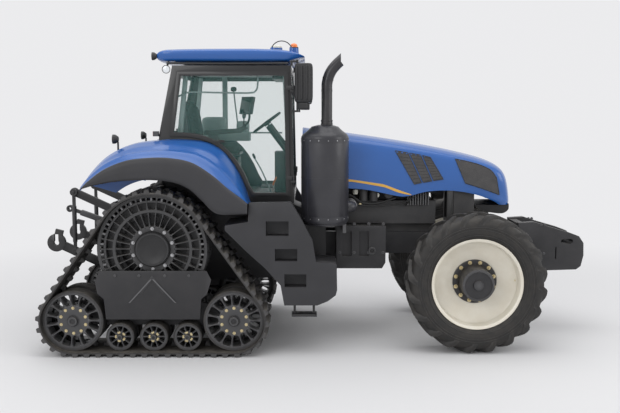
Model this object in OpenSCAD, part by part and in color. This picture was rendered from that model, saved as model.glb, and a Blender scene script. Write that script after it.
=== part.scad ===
// Half-track row-crop tractor: rubber track modules at the rear, wheels in front.
// Millimetres. +X is forward, +Y is left, +Z is up, and the ground is z = 0.
// Inside at_axle() x counts from the drive wheel axle, and inside at_front()
// it counts from the front axle. Paired pieces are drawn for the left side and mirrored.

/* [Layout] */
// Distance between the drive wheel axle and the front axle
wheelbase = 3550; // [3150:10:4300]
// Drive wheel axle to the tips of the lower link hooks
rear_overhang = 1360; // [1300:10:1650]
// Front axle to the front of the weight carrier
front_overhang = 1426; // [1190:2:1720]
// Distance between the centre planes of the two tracks, and of the front wheels
gauge = 1924; // [1900:4:2310]

/* [Track module] */
// Width of the rubber belt
belt_w = 610; // [508:2:620]
// Thickness of the belt without its lugs
belt_t = 20; // [16:1:26]
// Height of a tread lug
lug_h = 35; // [28:1:44]
// Number of tread lugs round the belt
lug_n = 54; // [44:1:60]
// Height of a guide lug inside the belt
guide_h = 50; // [40:1:56]
// Radius of the drive wheel
drive_r = 600; // [560:5:660]
// Height of the drive axle
drive_z = 1180; // [1140:5:1260]
// Radius of an idler
idler_r = 335; // [290:5:360]
// Distance of an idler ahead of or behind the drive axle
idler_x = 880; // [840:5:960]
// Radius of a roller
roller_r = 155; // [130:1:165]
// Distance between rollers
roller_pitch = 370; // [350:2:390]

/* [Front axle] */
// Radius of the front tyre over its lugs
tyre_r = 780; // [700:5:800]
// Width of the front tyre
tyre_w = 390; // [330:2:400]
// Radius of the rim where the tyre sits
rim_r = 483; // [402:1:500]
// Distance of the kingpin from the middle of the tractor
kingpin_y = 700; // [690:2:730]

/* [Cab] */
// Width over the side frames
cab_w = 1600; // [1400:10:1640]
// Thickness of a side frame and of a door
cab_t = 40; // [30:1:45]
// Top of the cab floor
floor_z = 1700; // [1690:2:1720]
// Underside of the roof
eaves_z = 3170; // [3000:10:3400]
// Width of the border round a door's glass
door_border = 45; // [35:1:60]

/* [Hood] */
// Width of the hood
hood_w = 880; // [760:10:920]
// Height of the hood at the cab
hood_z = 2490; // [2300:10:2600]
// Height of the nose where the headlamps start to curve over
nose_z = 1990; // [1900:10:2100]
// Thickness of the hood
hood_t = 12; // [8:1:16]

/* [Rear hitch] */
// Length of a lift arm, and of the stretch of lower link below it
lift_arm = 560; // [500:5:620]
// Height of the lower link pivot
link_z = 800; // [780:5:840]
// Height of the lift rod
lift_rod = 700; // [650:5:740]
// Angle by which the lower links point up at rest
link_rise = 25; // [15:1:30]
// Radius of the drawbar pin hole
drawbar_hole_r = 17; // [14:0.5:20]
// Radius of the power take-off shaft
pto_r = 22.5; // [17.5:0.5:26]

/* [Fits] */
// Clearance of a shaft in its bearing
run_clear = 0.05; // [0.02:0.01:0.1]
// Gap between a seated piece and its neighbour
seat_gap = 0.3; // [0.2:0.05:0.5]

/* [Hidden] */
$fn = 96;

blue = "#3a71be";
black = "#2c2c2e";
rubber = "#1e1e1f";
plastic = "#46464c";
cream = "#ebe8de";
steel = "#8c8c90";
glass = "#b4d2c8";

drive_x = (rear_overhang - wheelbase - front_overhang) / 2;
front_x = drive_x + wheelbase;
track_y = gauge / 2;

idler_z = lug_h + belt_t + idler_r;
roller_z = lug_h + belt_t + roller_r;
groove = 90; // free width between the two halves of every track wheel
wheel_half = 235; // outer face of the idlers and rollers from the track's middle
rim_half = 215; // outer face of the drive wheel's rim from the track's middle
beam_t = groove - 20;
tube_r = 190; // axle tube
shaft_r = 80; // drive shaft
idler_pin = 45;
roller_pin = 30;
trunnion_y = track_y - 402; // inner end of the ring that turns on the axle tube
plate_y = track_y - 357; // inner face of the inboard plate
plate_t = 36;
shield_y = track_y + 240;

// The cab stands this far from the drive axle
cab_rear = 20;
cab_front = 1535;
side_y = cab_w / 2;
door_y = side_y + seat_gap;
hinge_x = cab_front - 5;
hinge_y = side_y + 50;
hinge_pin = 10;
eave_rail = 60;
sill_z = floor_z + 20;
cab_base = floor_z - 60;
// Clear space over the belt, cut out of the cab and the fenders
well_r = drive_r + belt_t + lug_h + 65;
well_low = asin((cab_base - drive_z) / well_r);
function well_arc(r, a0, a1) = [for (i = [0 : 8]) let (a = lerp(a0, a1, i / 8)) [r * cos(a), drive_z + r * sin(a)]];
well_y = min(track_y - belt_w / 2 - 20, side_y - cab_t - 60); // inner wall of the cab beside the belt

hood_rear = cab_front + 85;
hood_front = wheelbase + 550;
hood_len = hood_front - hood_rear;
hood_y = hood_w / 2;
hood_hinge = [hood_rear + 35, hood_z - 50];

fender_in = side_y + seat_gap;
fender_out = track_y + belt_w / 2 - 6;
crown_z = drive_z + drive_r + belt_t + lug_h + 535;
skirt_t = 32;

link_x = -520;
link_y = 430; // inner face of a lower link, and of a lift arm
link_t = 40;
hook_r = 105;
link_len = (rear_overhang - hook_r + link_x) / cos(link_rise);
rock_z = link_z + lift_rod;
link_pin = 20;
rod_pin = 18;

function lerp(a, b, t) = a + (b - a) * t;
function bez(p, t) = pow(1 - t, 3) * p[0] + 3 * t * pow(1 - t, 2) * p[1]
    + 3 * t * t * (1 - t) * p[2] + pow(t, 3) * p[3];
function unit(v) = v / norm(v);
function left_of(v) = [-v[1], v[0]];
function rev(p) = [for (i = [len(p) - 1 : -1 : 0]) p[i]];
// A closed outline moved inwards by d; its points run anticlockwise
function inset(p, d) = [for (i = [0 : len(p) - 1])
    let (a = unit(p[i] - p[(i + len(p) - 1) % len(p)]), b = unit(p[(i + 1) % len(p)] - p[i]),
         m = unit(left_of(a) + left_of(b)))
    p[i] + m * d / (m * left_of(a))];

module at_axle() { translate([drive_x, 0, 0]) children(); }
module at_front() { translate([front_x, 0, 0]) children(); }
module both() {
    children();
    mirror([0, 1, 0]) children();
}
// An outline in x and z, from y0 to y1
module slab(points, y0, y1) {
    translate([0, y1, 0]) rotate([90, 0, 0]) linear_extrude(y1 - y0) polygon(points);
}
module rod_y(x, z, r, y0, y1) { translate([x, y1, z]) rotate([90, 0, 0]) cylinder(r = r, h = y1 - y0); }
module rod_x(y, z, r, x0, x1) { translate([x0, y, z]) rotate([0, 90, 0]) cylinder(r = r, h = x1 - x0); }
module rod_z(x, y, r, z0, z1) { translate([x, y, z0]) cylinder(r = r, h = z1 - z0); }
module box(a, b) { translate(a) cube(b - a); }
// A flat bar between two points in x and z
module bar(a, b, w, y0, y1) {
    n = left_of(unit(b - a)) * w / 2;
    slab([a - n, b - n, b + n, a + n], y0, y1);
}

// ---- Track module ----
idler_c = [idler_x, idler_z];
drive_c = [0, drive_z];
lean = atan2(drive_z - idler_z, -idler_x)
    - acos((idler_r - drive_r) / norm(drive_c - idler_c)); // direction the front run faces
run_n = [cos(lean), sin(lean)];
wrap_low = (lean + 90) * PI / 180;
wrap_top = (180 - 2 * lean) * PI / 180;
// Lengths of the stretches along the belt's outer face, from the rear idler forwards
belt_s = [2 * idler_x, wrap_low * (idler_r + belt_t),
    norm(drive_c - idler_c + run_n * (drive_r - idler_r)), wrap_top * (drive_r + belt_t)];
belt_len = belt_s[0] + 2 * belt_s[1] + 2 * belt_s[2] + belt_s[3];
half_len = belt_s[0] / 2 + belt_s[1] + belt_s[2] + belt_s[3] / 2;
// A point at distance s from the middle of the ground run, h out from the wheels' surface
function belt_half(s, h) = let (
        s1 = belt_s[0] / 2, s2 = s1 + belt_s[1], s3 = s2 + belt_s[2],
        a = (s - s1) / (idler_r + belt_t) * 180 / PI - 90,
        b = (s - s3) / (drive_r + belt_t) * 180 / PI + lean)
    s < s1 ? [s, idler_z - idler_r - h]
    : s < s2 ? idler_c + (idler_r + h) * [cos(a), sin(a)]
    : s < s3 ? lerp(idler_c + (idler_r + h) * run_n, drive_c + (drive_r + h) * run_n, (s - s2) / belt_s[2])
    : drive_c + (drive_r + h) * [cos(b), sin(b)];
function belt_at(s, h) = s < half_len ? belt_half(s, h)
    : let (p = belt_half(belt_len - s, h)) [-p[0], p[1]];
// The outline with raised teeth: tall where a tooth stands and low between
function toothed(shift, low, tall) = [for (i = [0 : lug_n - 1]) for (c = [[0, low], [0.09, tall], [0.43, tall], [0.52, low]])
    belt_at((i + c[0] + shift) * belt_len / lug_n, c[1])];
// The inner outline, whose flats just clear the wheels
function arc_out(c, r, a0, a1, n) = let (step = (a1 - a0) / n)
    [for (i = [0 : n - 1]) c + r / cos(step / 2) * [cos(a0 + (i + 0.5) * step), sin(a0 + (i + 0.5) * step)]];
belt_in = concat(
    [[0, idler_z - idler_r - seat_gap]],
    arc_out(idler_c, idler_r + seat_gap, -90, lean, 14),
    arc_out(drive_c, drive_r + seat_gap, lean, 180 - lean, 14),
    arc_out([-idler_x, idler_z], idler_r + seat_gap, 180 - lean, 270, 14));

module track_belt() {
    color(rubber) at_axle() translate([0, track_y, 0]) {
        for (h = [[0.0, 30, belt_w / 2], [0.5, -belt_w / 2, -30]]) difference() {
            slab(toothed(h[0], belt_t, belt_t + lug_h), h[1], h[2]);
            slab(belt_in, h[1] - 1, h[2] + 1);
        }
        difference() {
            slab(toothed(0.2, belt_t, belt_t), -30, 30);
            slab(toothed(0, -seat_gap, -guide_h), -31, 31);
        }
    }
}

// Radial plates from r0 to r1 round an axle along Y
module spokes(n, r0, r1, t, y0, y1) {
    for (i = [0 : n - 1]) rotate([0, i * 360 / n, 0]) box([r0, y0, -t / 2], [r1, y1, t / 2]);
}
module ring(r0, r1, y0, y1) {
    difference() {
        rod_y(0, 0, r1, y0, y1);
        rod_y(0, 0, r0, y0 - 1, y1 + 1);
    }
}
module bolt_circle(n, r, bolt_r, y0, y1) {
    for (i = [0 : n - 1]) rotate([0, (i + 0.5) * 360 / n, 0]) rod_y(r, 0, bolt_r, y0, y1);
}
drum_r = drive_r - guide_h - 15;
spoke_n = 30;
module drive_wheel() {
    color(black) at_axle() translate([0, track_y, drive_z]) {
        ring(drum_r - 30, drum_r, -rim_half, rim_half);
        for (side = [-1, 1]) for (y = [groove / 2, rim_half - 15]) {
            y0 = side > 0 ? y : -y - 15;
            ring(drum_r - 2, drive_r, y0, y0 + 15);
        }
        for (y0 = [groove / 2, -rim_half]) spokes(spoke_n, drum_r - 2, drive_r - 4, 22, y0 + 1, y0 + rim_half - groove / 2 - 1);
        spokes(spoke_n, 240, drum_r - 20, 12, 140, rim_half - 5);
        rod_y(0, 0, 250, 90, 190);
        rod_y(0, 0, 183, 150, rim_half + 25);
        bolt_circle(10, 222, 13, 185, 204);
        rod_y(0, 0, shaft_r, trunnion_y - 140 - track_y, 120);
    }
}
module idler(x) {
    color(black) at_axle() translate([x, track_y, idler_z]) {
        rod_y(0, 0, idler_pin, -wheel_half + 30, wheel_half);
        for (side = [0, 1]) mirror([0, side, 0]) {
            ring(idler_r - 42, idler_r, groove / 2, wheel_half);
            spokes(15, 150, idler_r - 40, 16, 120, wheel_half - 12);
            ring(idler_pin - 2, 175, groove / 2 + 5, wheel_half - 20);
        }
        bolt_circle(10, 140, 12, wheel_half - 25, wheel_half - 5);
        rod_y(0, 0, 65, wheel_half - 30, wheel_half + 26);
    }
}
module roller(x) {
    color(black) at_axle() translate([x, track_y, roller_z]) {
        rod_y(0, 0, roller_pin, -wheel_half + 20, wheel_half - 10);
        for (side = [0, 1]) mirror([0, side, 0]) {
            ring(roller_r - 28, roller_r, groove / 2, wheel_half - 5);
            spokes(10, 50, roller_r - 26, 14, 80, wheel_half - 15);
            ring(roller_pin - 2, 62, groove / 2 + 3, wheel_half - 10);
        }
        rod_y(0, 0, 42, wheel_half - 20, wheel_half + 5);
    }
}
cross_x = idler_x / 2 - 10;
cross_z = roller_z + roller_r + 125;
module track_frame() {
    color(black) at_axle() translate([0, track_y, 0]) difference() {
        union() {
            // middle beam with an eye for each idler and a hanger for each roller
            slab([[-idler_x, idler_z - 90], [idler_x, idler_z - 90], [idler_x, idler_z + 100],
                  [cross_x, cross_z + 70], [-cross_x, cross_z + 70], [-idler_x, idler_z + 100]],
                 -beam_t / 2, beam_t / 2);
            for (x = [-idler_x, idler_x]) rod_y(x, idler_z, 120, -beam_t / 2 - 4, beam_t / 2 + 4);
            for (x = [-roller_pitch, 0, roller_pitch])
                slab([[x - 55, roller_z - 52], [x + 55, roller_z - 52], [x + 70, idler_z - 60], [x - 70, idler_z - 60]],
                     -beam_t / 2, beam_t / 2);
            // cross tubes to the inboard plate and to the outer shield
            for (x = [-cross_x, cross_x]) rod_y(x, cross_z, 72, plate_y - track_y + 5, shield_y - track_y + 4);
            // inboard plate up to the ring on the axle tube
            slab([[-cross_x - 90, cross_z - 80], [cross_x + 90, cross_z - 80], [cross_x + 90, cross_z + 120],
                  [tube_r + 40, drive_z - 60], [-tube_r - 40, drive_z - 60], [-cross_x - 90, cross_z + 120]],
                 plate_y - track_y, plate_y - track_y + plate_t);
            rod_y(0, drive_z, tube_r + 62, trunnion_y - track_y, plate_y - track_y + plate_t);
            // outer shield
            slab([[-620, 830], [-575, 950], [590, 950], [640, 850], [590, 690], [cross_x + 100, 640],
                  [cross_x + 80, cross_z - 75], [-cross_x - 80, cross_z - 75], [-cross_x - 100, 640], [-600, 700]],
                 shield_y - track_y, shield_y - track_y + 16);
            slab([[-150, 705], [0, 900], [150, 705], [110, 705], [0, 850], [-110, 705]],
                 shield_y - track_y + 15, shield_y - track_y + 24);
        }
        rod_y(0, drive_z, tube_r + run_clear, trunnion_y - track_y - 1, plate_y - track_y + plate_t + 1);
        for (x = [-idler_x, idler_x]) rod_y(x, idler_z, idler_pin + run_clear, -beam_t, beam_t);
        for (x = [-roller_pitch, 0, roller_pitch]) rod_y(x, roller_z, roller_pin + run_clear, -beam_t, beam_t);
    }
}

// ---- Driveline and frame ----
module transmission_housing() {
    outer = [[-450, 640], [1500, 700], [1900, 860], [1900, 1400], [1500, 1580], [-250, 1580], [-450, 1480]];
    color(plastic) at_axle() difference() {
        union() {
            slab(outer, -280, 280);
            rod_y(0, drive_z, tube_r + 60, -330, 330);
            rod_y(0, drive_z, tube_r, -(plate_y + plate_t), plate_y + plate_t);
        }
        slab(inset(outer, 45), -235, 235);
        both() rod_y(0, drive_z, shaft_r + run_clear, 200, track_y);
    }
    // posts and pins that carry the hood's hinge
    color(plastic) at_axle() both() {
        box([hood_hinge[0] - 25, 140, 1480], [hood_hinge[0] + 20, 179, hood_hinge[1] + 14]);
        rod_y(hood_hinge[0], hood_hinge[1], 12, 150, 203);
    }
}
module front_frame() {
    rail = 230;
    front = wheelbase + 640;
    color(plastic) at_axle() {
        difference() {
            union() {
                both() {
                    box([1900, 150, 980], [wheelbase + 500, rail, 1240]);
                    // stiffened side castings behind the front wheels
                    slab([[2020, 830], [2560, 830], [2600, 900], [2600, 1330], [2020, 1340]], rail - 5, 430);
                }
                box([1900, -150, 900], [2560, 150, 1000]);
                box([wheelbase - 160, -150, 1040], [wheelbase + 500, 150, 1240]);
                box([wheelbase + 490, -rail, 980], [front, rail, 1300]);
            }
            // pockets in the castings
            both() for (x = [2090, 2290]) box([x, 380, 980], [x + 110, 431, 1270]);
            box([1899, -rail, 1241], [2000, rail, 1500]);
        }
        // pivot brackets that carry the front axle
        for (x = [wheelbase - 150, wheelbase + 110]) difference() {
            box([x, -75, 760], [x + 40, 75, 1045]);
            rod_x(0, tyre_r + 40, 40 + run_clear, x - 1, x + 41);
        }
    }
}
module engine_block() {
    color(steel) at_axle() {
        box([2020, -149, 1000.3], [3200, 149, 1241]);
        box([2020, -220, 1240.3], [3200, 220, 1360]);
        box([2020, -290, 1345], [3200, 290, 1620]);
        box([2120, -170, 1610], [3140, 170, 1900]);
        box([2150, -200, 1890], [3100, 200, 1960]);
        rod_x(0, 1700, 90, 3190, 3330);
        // cooling pack in front of the fan
        translate([3400, 0, 0]) difference() {
            box([0, -370, 1300.3], [240, 370, 1960]);
            box([-1, -320, 1350], [30, 320, 1910]);
        }
        both() box([3420, 155, 1240.3], [3620, 225, 1301]);
    }
}
module weight_carrier() {
    x0 = wheelbase + 640;
    x1 = wheelbase + front_overhang;
    side = [[x0 + 0.3, 980], [x0 + 60, 770], [x1 - 85, 790], [x1 - 30, 830], [x1, 960], [x1 - 5, 1110],
            [x1 - 60, 1190], [x1 - 180, 1235], [x1 - 440, 1310], [x1 - 600, 1362], [x0 + 0.3, 1350]];
    color(plastic) at_axle() difference() {
        union() {
            both() slab(side, 200, 290);
            box([x0 + 0.3, -201, 980], [x0 + 90, 201, 1340]);
            box([x0 + 0.3, -201, 800], [x1 - 90, 201, 860]);
            box([x1 - 160, -201, 859], [x1 - 60, 201, 1180]);
        }
        // lifting eye, key slot and the hitch pin hole
        rod_y(x1 - 245, 1130, 28, -400, 400);
        rod_y(x1 - 160, 1130, 28, -400, 400);
        box([x1 - 245, -400, 1102], [x1 - 160, 400, 1158]);
        both() box([x1 - 340, 260, 920], [x1 - 325, 291, 1060]);
        rod_z(x1 - 230, 0, 20, 700, 900);
    }
}

// ---- Front axle ----
axle_z = tyre_r;
spindle = 70;
module front_axle_beam() {
    color(plastic) at_front() {
        difference() {
            union() {
                both() slab([[-110, axle_z - 110], [110, axle_z - 110], [110, axle_z + 95], [-110, axle_z + 95]], 0, 200);
                box([-80, -590, axle_z - 90], [80, 590, axle_z + 60]);
                both() for (z = [axle_z - 175, axle_z + 105]) {
                    box([-60, 540, z], [60, kingpin_y + 10, z + 70]);
                    rod_z(0, kingpin_y, 62, z, z + 70);
                }
                both() box([-60, 540, axle_z - 175], [60, 585, axle_z + 175]);
            }
            both() for (z = [axle_z - 175, axle_z + 105]) rod_z(0, kingpin_y, 30 + run_clear, z - 1, z + 71);
        }
        // pin that the whole axle rocks on
        rod_x(0, axle_z + 40, 40, -152, 152);
    }
}
module knuckle() {
    color(plastic) at_front() {
        rod_z(0, kingpin_y, 30, axle_z - 180, axle_z + 180);
        rod_z(0, kingpin_y, 75, axle_z - 104.5, axle_z + 104.5);
        rod_y(0, axle_z, 100, kingpin_y, kingpin_y + 90);
        rod_y(0, axle_z, spindle, kingpin_y, track_y + 150);
        // steering arm
        box([-230, kingpin_y - 25, axle_z - 60], [0, kingpin_y + 25, axle_z - 20]);
    }
}
flange = 22;
rim_w = tyre_w - 60;
disc_y = track_y - 32;
module rim() {
    color(cream) at_front() translate([0, track_y, axle_z]) {
        rotate([90, 0, 0]) mirror([0, 0, 1]) rotate_extrude() polygon([
            [rim_r - 14, -rim_w / 2 + 10], [rim_r + flange - 8, -rim_w / 2], [rim_r + flange, -rim_w / 2 + 8],
            [rim_r + flange, -rim_w / 2 + 16], [rim_r, -rim_w / 2 + 22], [rim_r, rim_w / 2 - 22],
            [rim_r + flange, rim_w / 2 - 16], [rim_r + flange, rim_w / 2 - 8], [rim_r + flange - 8, rim_w / 2],
            [rim_r - 14, rim_w / 2 - 10], [rim_r - 14, 0], [rim_r - 60, -20], [205, -40], [205, -58],
            [rim_r - 50, -40], [rim_r - 14, -20]]);
    }
    color(steel) at_front() translate([0, track_y, axle_z]) difference() {
        union() {
            rod_y(0, 0, 204.7, -120, -25);
            rod_y(0, 0, 245, -39.7, -15);
            rod_y(0, 0, 180, -26, 238);
            bolt_circle(12, 218, 14, -16, 12);
        }
        rod_y(0, 0, spindle + run_clear, -121, 160);
    }
}
module tyre() {
    w = tyre_w / 2;
    bead = rim_r + seat_gap;
    tread = tyre_r - 38;
    color(rubber) at_front() translate([0, track_y, axle_z]) {
        rotate([90, 0, 0]) mirror([0, 0, 1]) rotate_extrude() polygon([
            [bead, -rim_w / 2 + 23], [bead + flange + 4, -rim_w / 2 + 17], [bead + flange + 14, -rim_w / 2 - 4],
            [lerp(rim_r, tyre_r, 0.5), -w + 4], [lerp(rim_r, tyre_r, 0.66), -w + 6], [tread - 12, -w + 26],
            [tread, -w + 60], [tread + 6, 0], [tread, w - 60], [tread - 12, w - 26],
            [lerp(rim_r, tyre_r, 0.66), w - 6], [lerp(rim_r, tyre_r, 0.5), w - 4],
            [bead + flange + 14, rim_w / 2 + 4], [bead + flange + 4, rim_w / 2 - 17], [bead, rim_w / 2 - 23],
            [bead + 26, rim_w / 2 - 40], [lerp(rim_r, tyre_r, 0.5), w - 34], [tread - 34, w - 60],
            [tread - 28, 0], [tread - 34, -w + 60], [lerp(rim_r, tyre_r, 0.5), -w + 34],
            [bead + 26, -rim_w / 2 + 40]]);
        for (h = [[0, 12, w - 14], [0.5, -w + 14, -12]]) difference() {
            slab([for (i = [0 : 19]) for (c = [[0, 20], [0.08, 0], [0.36, 0], [0.44, 20]])
                (tyre_r - c[1] * 2.2) * [cos((i + c[0] + h[0]) * 18), sin((i + c[0] + h[0]) * 18)]], h[1], h[2]);
            rod_y(0, 0, tread - 20, h[1] - 1, h[2] + 1);
        }
    }
}

// ---- Fenders and steps ----
// Ridges of the fender seen from the side: beside the cab, and at its outer edge
ridge_in = [
    [[-796, crown_z - 498], [-640, crown_z - 290], [-250, crown_z - 9], [170, crown_z - 2]],
    [[170, crown_z - 2], [660, crown_z + 30], [880, crown_z - 190], [1048, crown_z - 708]]];
ridge_out = [
    [[-752, crown_z - 536], [-600, crown_z - 380], [-230, crown_z - 192], [110, crown_z - 192]],
    [[110, crown_z - 192], [430, crown_z - 192], [740, crown_z - 370], [1040, crown_z - 680]]];
hem = [
    [[-752, crown_z - 536], [-560, crown_z - 470], [-120, crown_z - 410], [220, crown_z - 451]],
    [[220, crown_z - 451], [480, crown_z - 510], [620, crown_z - 805], [770, crown_z - 805]]];
function ridge(v, t) = let (k = t < 1 ? 0 : 1, u = t - k)
    lerp(bez(ridge_in[k], u), bez(ridge_out[k], u), v);
fender_n = 20;
fender_strips = 9;
function fender_band(v) = concat(
    [for (i = [0 : fender_n]) ridge(v, 2 * i / fender_n)],
    [for (i = [fender_n : -1 : 0]) let (p = ridge(v, 2 * i / fender_n)) [p[0] * 0.97, p[1] - 46]]);
module fenders() {
    color(blue) at_axle() both() {
        // the crown falls away towards the outer edge in narrow strips
        let (y0 = fender_in + 25, w = (fender_out - skirt_t - seat_gap - y0) / fender_strips)
            for (k = [0 : fender_strips - 1])
                slab(fender_band(pow((k + 0.5) / fender_strips, 1.5)), y0 + k * w, y0 + (k + 1) * w + (k < fender_strips - 1 ? 1 : 0));
        // inner wall against the cab's side frame
        slab(concat([for (i = [0 : fender_n]) ridge(0, 2 * i / fender_n) - [0, 1]],
                    [[1040, floor_z - 40]], well_arc(well_r, well_low, 128)),
             fender_in, fender_in + 25 - seat_gap);
    }
}
module fender_skirts() {
    color(plastic) at_axle() both() slab(concat(
        [for (i = [0 : 20]) let (k = i < 10 ? 0 : 1) bez(hem[k], (i - 10 * k) / 10)],
        [[1037, crown_z - 800]],
        [for (i = [20 : -1 : 1]) let (k = i < 10 ? 0 : 1) bez(ridge_out[k], (i - 10 * k) / 10)]),
        fender_out - skirt_t, fender_out);
}
step_out = track_y + 218; // outer face of the steps
rung_z = 560; // underside of the step tanks
module step_tanks() {
    body = [[1430, rung_z], [1760, rung_z], [1760, 1060], [1530, 1330], [1500, cab_base - seat_gap],
            [1050, cab_base - seat_gap], [1040, 1480], [790, 1440], [790, 1386], [1019, 1157], [1225, 970], [1390, 783]];
    skin = [[1430, rung_z], [1790, rung_z], [1904, 606], [1992, 673], [2007, 730], [2002, 1000], [1985, 1025],
            [1776, 1040], [1738, 1275], [1622, 1498], [1503, 1695], [1052, 1685],
            [1040, 1480], [790, 1440], [790, 1386], [1019, 1157], [1225, 970], [1390, 783]];
    color(plastic) at_axle() both() difference() {
        union() {
            slab(body, 560, step_out - 99);
            slab(skin, step_out - 100, step_out);
            slab([[1700, rung_z + 20], [1904, 606], [1992, 673], [2002, 1000], [1700, 1030]], 560, step_out - 99);
        }
        // foot holes
        for (s = [[1233, 1327, 247, 160], [1330, 1049, 243, 136], [1433, 763, 238, 143]])
            box([s[0], step_out - 170, s[1]], [s[0] + s[2], step_out + 1, s[1] + s[3]]);
        // hollow of the tank
        slab(inset(body, 22), 582, step_out - 195);
    }
    // brackets that carry the tanks on the transmission
    color(plastic) at_axle() both() {
        box([1240, 280.3, 1190], [1340, 559.7, 1250]);
        box([1600, 280.3, 900], [1700, 559.7, 960]);
    }
}
strap_r = 6.7; // half thickness of a rung's strap
rung_at = [step_out - 64, rung_z - strap_r - seat_gap];
module rung() {
    color(rubber) at_axle() {
        for (x = [1530, 1740]) {
            rod_x(rung_at[0], rung_at[1], strap_r, x, x + 26);
            box([x, rung_at[0] - strap_r + 0.7, rung_z - 112], [x + 26, rung_at[0] + strap_r - 0.7, rung_at[1]]);
        }
        box([1510, step_out - 160, rung_z - 128], [1786, step_out - 10, rung_z - 100]);
    }
}

// ---- Cab ----
side_outline = concat([[cab_front, cab_base], [cab_front - 15, 2400], [1500, eaves_z], [190, eaves_z],
    [cab_rear + 10, 2400]], well_arc(well_r, 88, well_low));
door_low = [for (i = [0 : 7]) bez(ridge_in[1], lerp(0.14, 0.9, i / 7)) + [0, 22]];
door_outline = concat([[1490, sill_z], [1470, eaves_z - 65], [250, eaves_z - 70], [150, crown_z + 24]],
    door_low, [[1060, sill_z]]);
module cab_frame() {
    opening = inset(door_outline, 30);
    color(black) at_axle() {
        both() difference() {
            slab(side_outline, side_y - cab_t, side_y);
            slab(opening, side_y - cab_t - 1, side_y + 1);
        }
        y = side_y - cab_t + 1;
        box([1430, -y, eaves_z - eave_rail], [1499, y, eaves_z]);
        box([1475, -y, cab_base], [1530, y, floor_z + 30]);
        difference() {
            box([195, -y, eaves_z - eave_rail + 5], [270, y, eaves_z]);
            rod_y(215, eaves_z - 60, 22, -y - 1, y + 1);
        }
        box([cab_rear + 1, -y, drive_z + well_r + 5], [cab_rear + 31, y, 2370]);
        box([cab_rear + 1, -well_y, cab_base], [cab_rear + 31, well_y, drive_z + well_r + 6]);
        both() for (z = [sill_z + 160, eaves_z - 290]) {
            box([1493, side_y - 1, z], [hinge_x + 16, hinge_y + 20, z + 22]);
            rod_z(hinge_x, hinge_y, hinge_pin, z - 50, z + 72);
        }
        // mirror arms
        both() {
            for (z = [2660, 3206]) {
                box([1495, side_y - 20, z], [mirror_x + 12, side_y - 1, z + 20]);
                box([mirror_x - 12, side_y - 20, z], [mirror_x + 12, mirror_y + 12, z + 20]);
            }
            box([1495, side_y - 20, eaves_z - 2], [1520, side_y - 1, 3226]);
            rod_z(mirror_x, mirror_y, 12, 2665, 3215);
        }
        // pegs of the rear window's hinge
        both() rod_y(215, eaves_z - 60, 8, side_y - cab_t - 40, side_y - cab_t + 1);
    }
}
module cab_floor() {
    y = side_y - cab_t - seat_gap;
    color(plastic) at_axle() {
        box([cab_rear + 31.3, -well_y, cab_base], [800, well_y, floor_z]);
        box([well_r * cos(well_low) + 8, -y, cab_base], [1474.7, y, floor_z]);
        // walls and roof of the wells over the tracks
        both() {
            slab(concat(well_arc(well_r + 6, 85.5, well_low), rev(well_arc(well_r + 24, 85.6, well_low))), well_y - 20, y);
            slab(concat([[cab_rear + 31.3, cab_base + 1]], rev(well_arc(well_r + 10, well_low, 85.4))), well_y - 20, well_y);
        }
        box([330, -200, floor_z - 1], [860, 200, 2050]);
        // rubber-mounted feet on the transmission
        both() for (x = [200, 1300]) rod_z(x, 200, 60, 1580.3, floor_z - 59);
    }
}
roof_y = side_y + 30;
module cab_roof() {
    color(blue) at_axle() slab([[110, eaves_z + seat_gap], [1485, eaves_z + seat_gap], [1485, 3245], [1640, 3245], [1667, 3262],
        [1610, 3300], [1491, 3340], [1050, 3374], [200, 3370], [60, 3356], [cab_rear, 3330], [cab_rear, 3210]],
        -roof_y, roof_y);
    color(blue) at_axle() {
        translate([beacon_at[0], beacon_at[1], 3300]) cylinder(r = 55, h = pad_z - 3300);
        translate([1330, -560, 3300]) cylinder(r = 72, h = pad_z - 3300);
        for (x = [1395 - 104, 1395 + 104]) rod_z(x, -680, 14, 3300, pad_z);
    }
}
module cab_glass() {
    y = side_y - cab_t - seat_gap;
    color(glass) at_axle() slab([[1512, floor_z + 30.3], [1518, floor_z + 30.3], [1495, eaves_z - eave_rail - 0.3],
        [1489, eaves_z - eave_rail - 0.3]], -y, y);
}
module door_frame() {
    color(black) at_axle() {
        difference() {
            slab(door_outline, door_y, door_y + cab_t);
            slab(inset(door_outline, door_border), door_y - 1, door_y + cab_t + 1);
        }
        for (z = [sill_z + 183, eaves_z - 267]) difference() {
            union() {
                rod_z(hinge_x, hinge_y, 18, z, z + 46);
                box([1450, hinge_y - 17, z], [hinge_x, hinge_y - 2, z + 46]);
            }
            rod_z(hinge_x, hinge_y, hinge_pin + run_clear, z - 1, z + 47);
        }
        // handle at the rear lower corner
        box([640, door_y + cab_t - 1, 2330], [760, door_y + cab_t + 35, 2352]);
    }
}
module door_glass() {
    color(glass) at_axle() slab(inset(door_outline, door_border + seat_gap), door_y + 16, door_y + 22);
}
module rear_window() {
    y = side_y - cab_t - 3;
    low = [cab_rear + 12, 2385];
    high = [215, eaves_z - 60];
    d = unit(high - low);
    n = left_of(d) * 14;
    color(black) at_axle() difference() {
        union() {
            difference() {
                slab([low, high - d * 10, high - d * 10 + n, low + n], -y, y);
                slab([low + d * 50, high - d * 60, high - d * 60 + n, low + d * 50 + n] - 0.1 * [n, n, n, n] / 14 , -y + 50, y - 50);
            }
            slab([low + n * 0.3, high - d * 10 + n * 0.3, high - d * 10 + n * 0.7, low + n * 0.7], -y, y);
            both() rod_y(high[0], high[1], 17, side_y - cab_t - 60, y);
        }
        both() rod_y(high[0], high[1], 8 + run_clear, side_y - cab_t - 80, side_y);
    }
}
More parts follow.
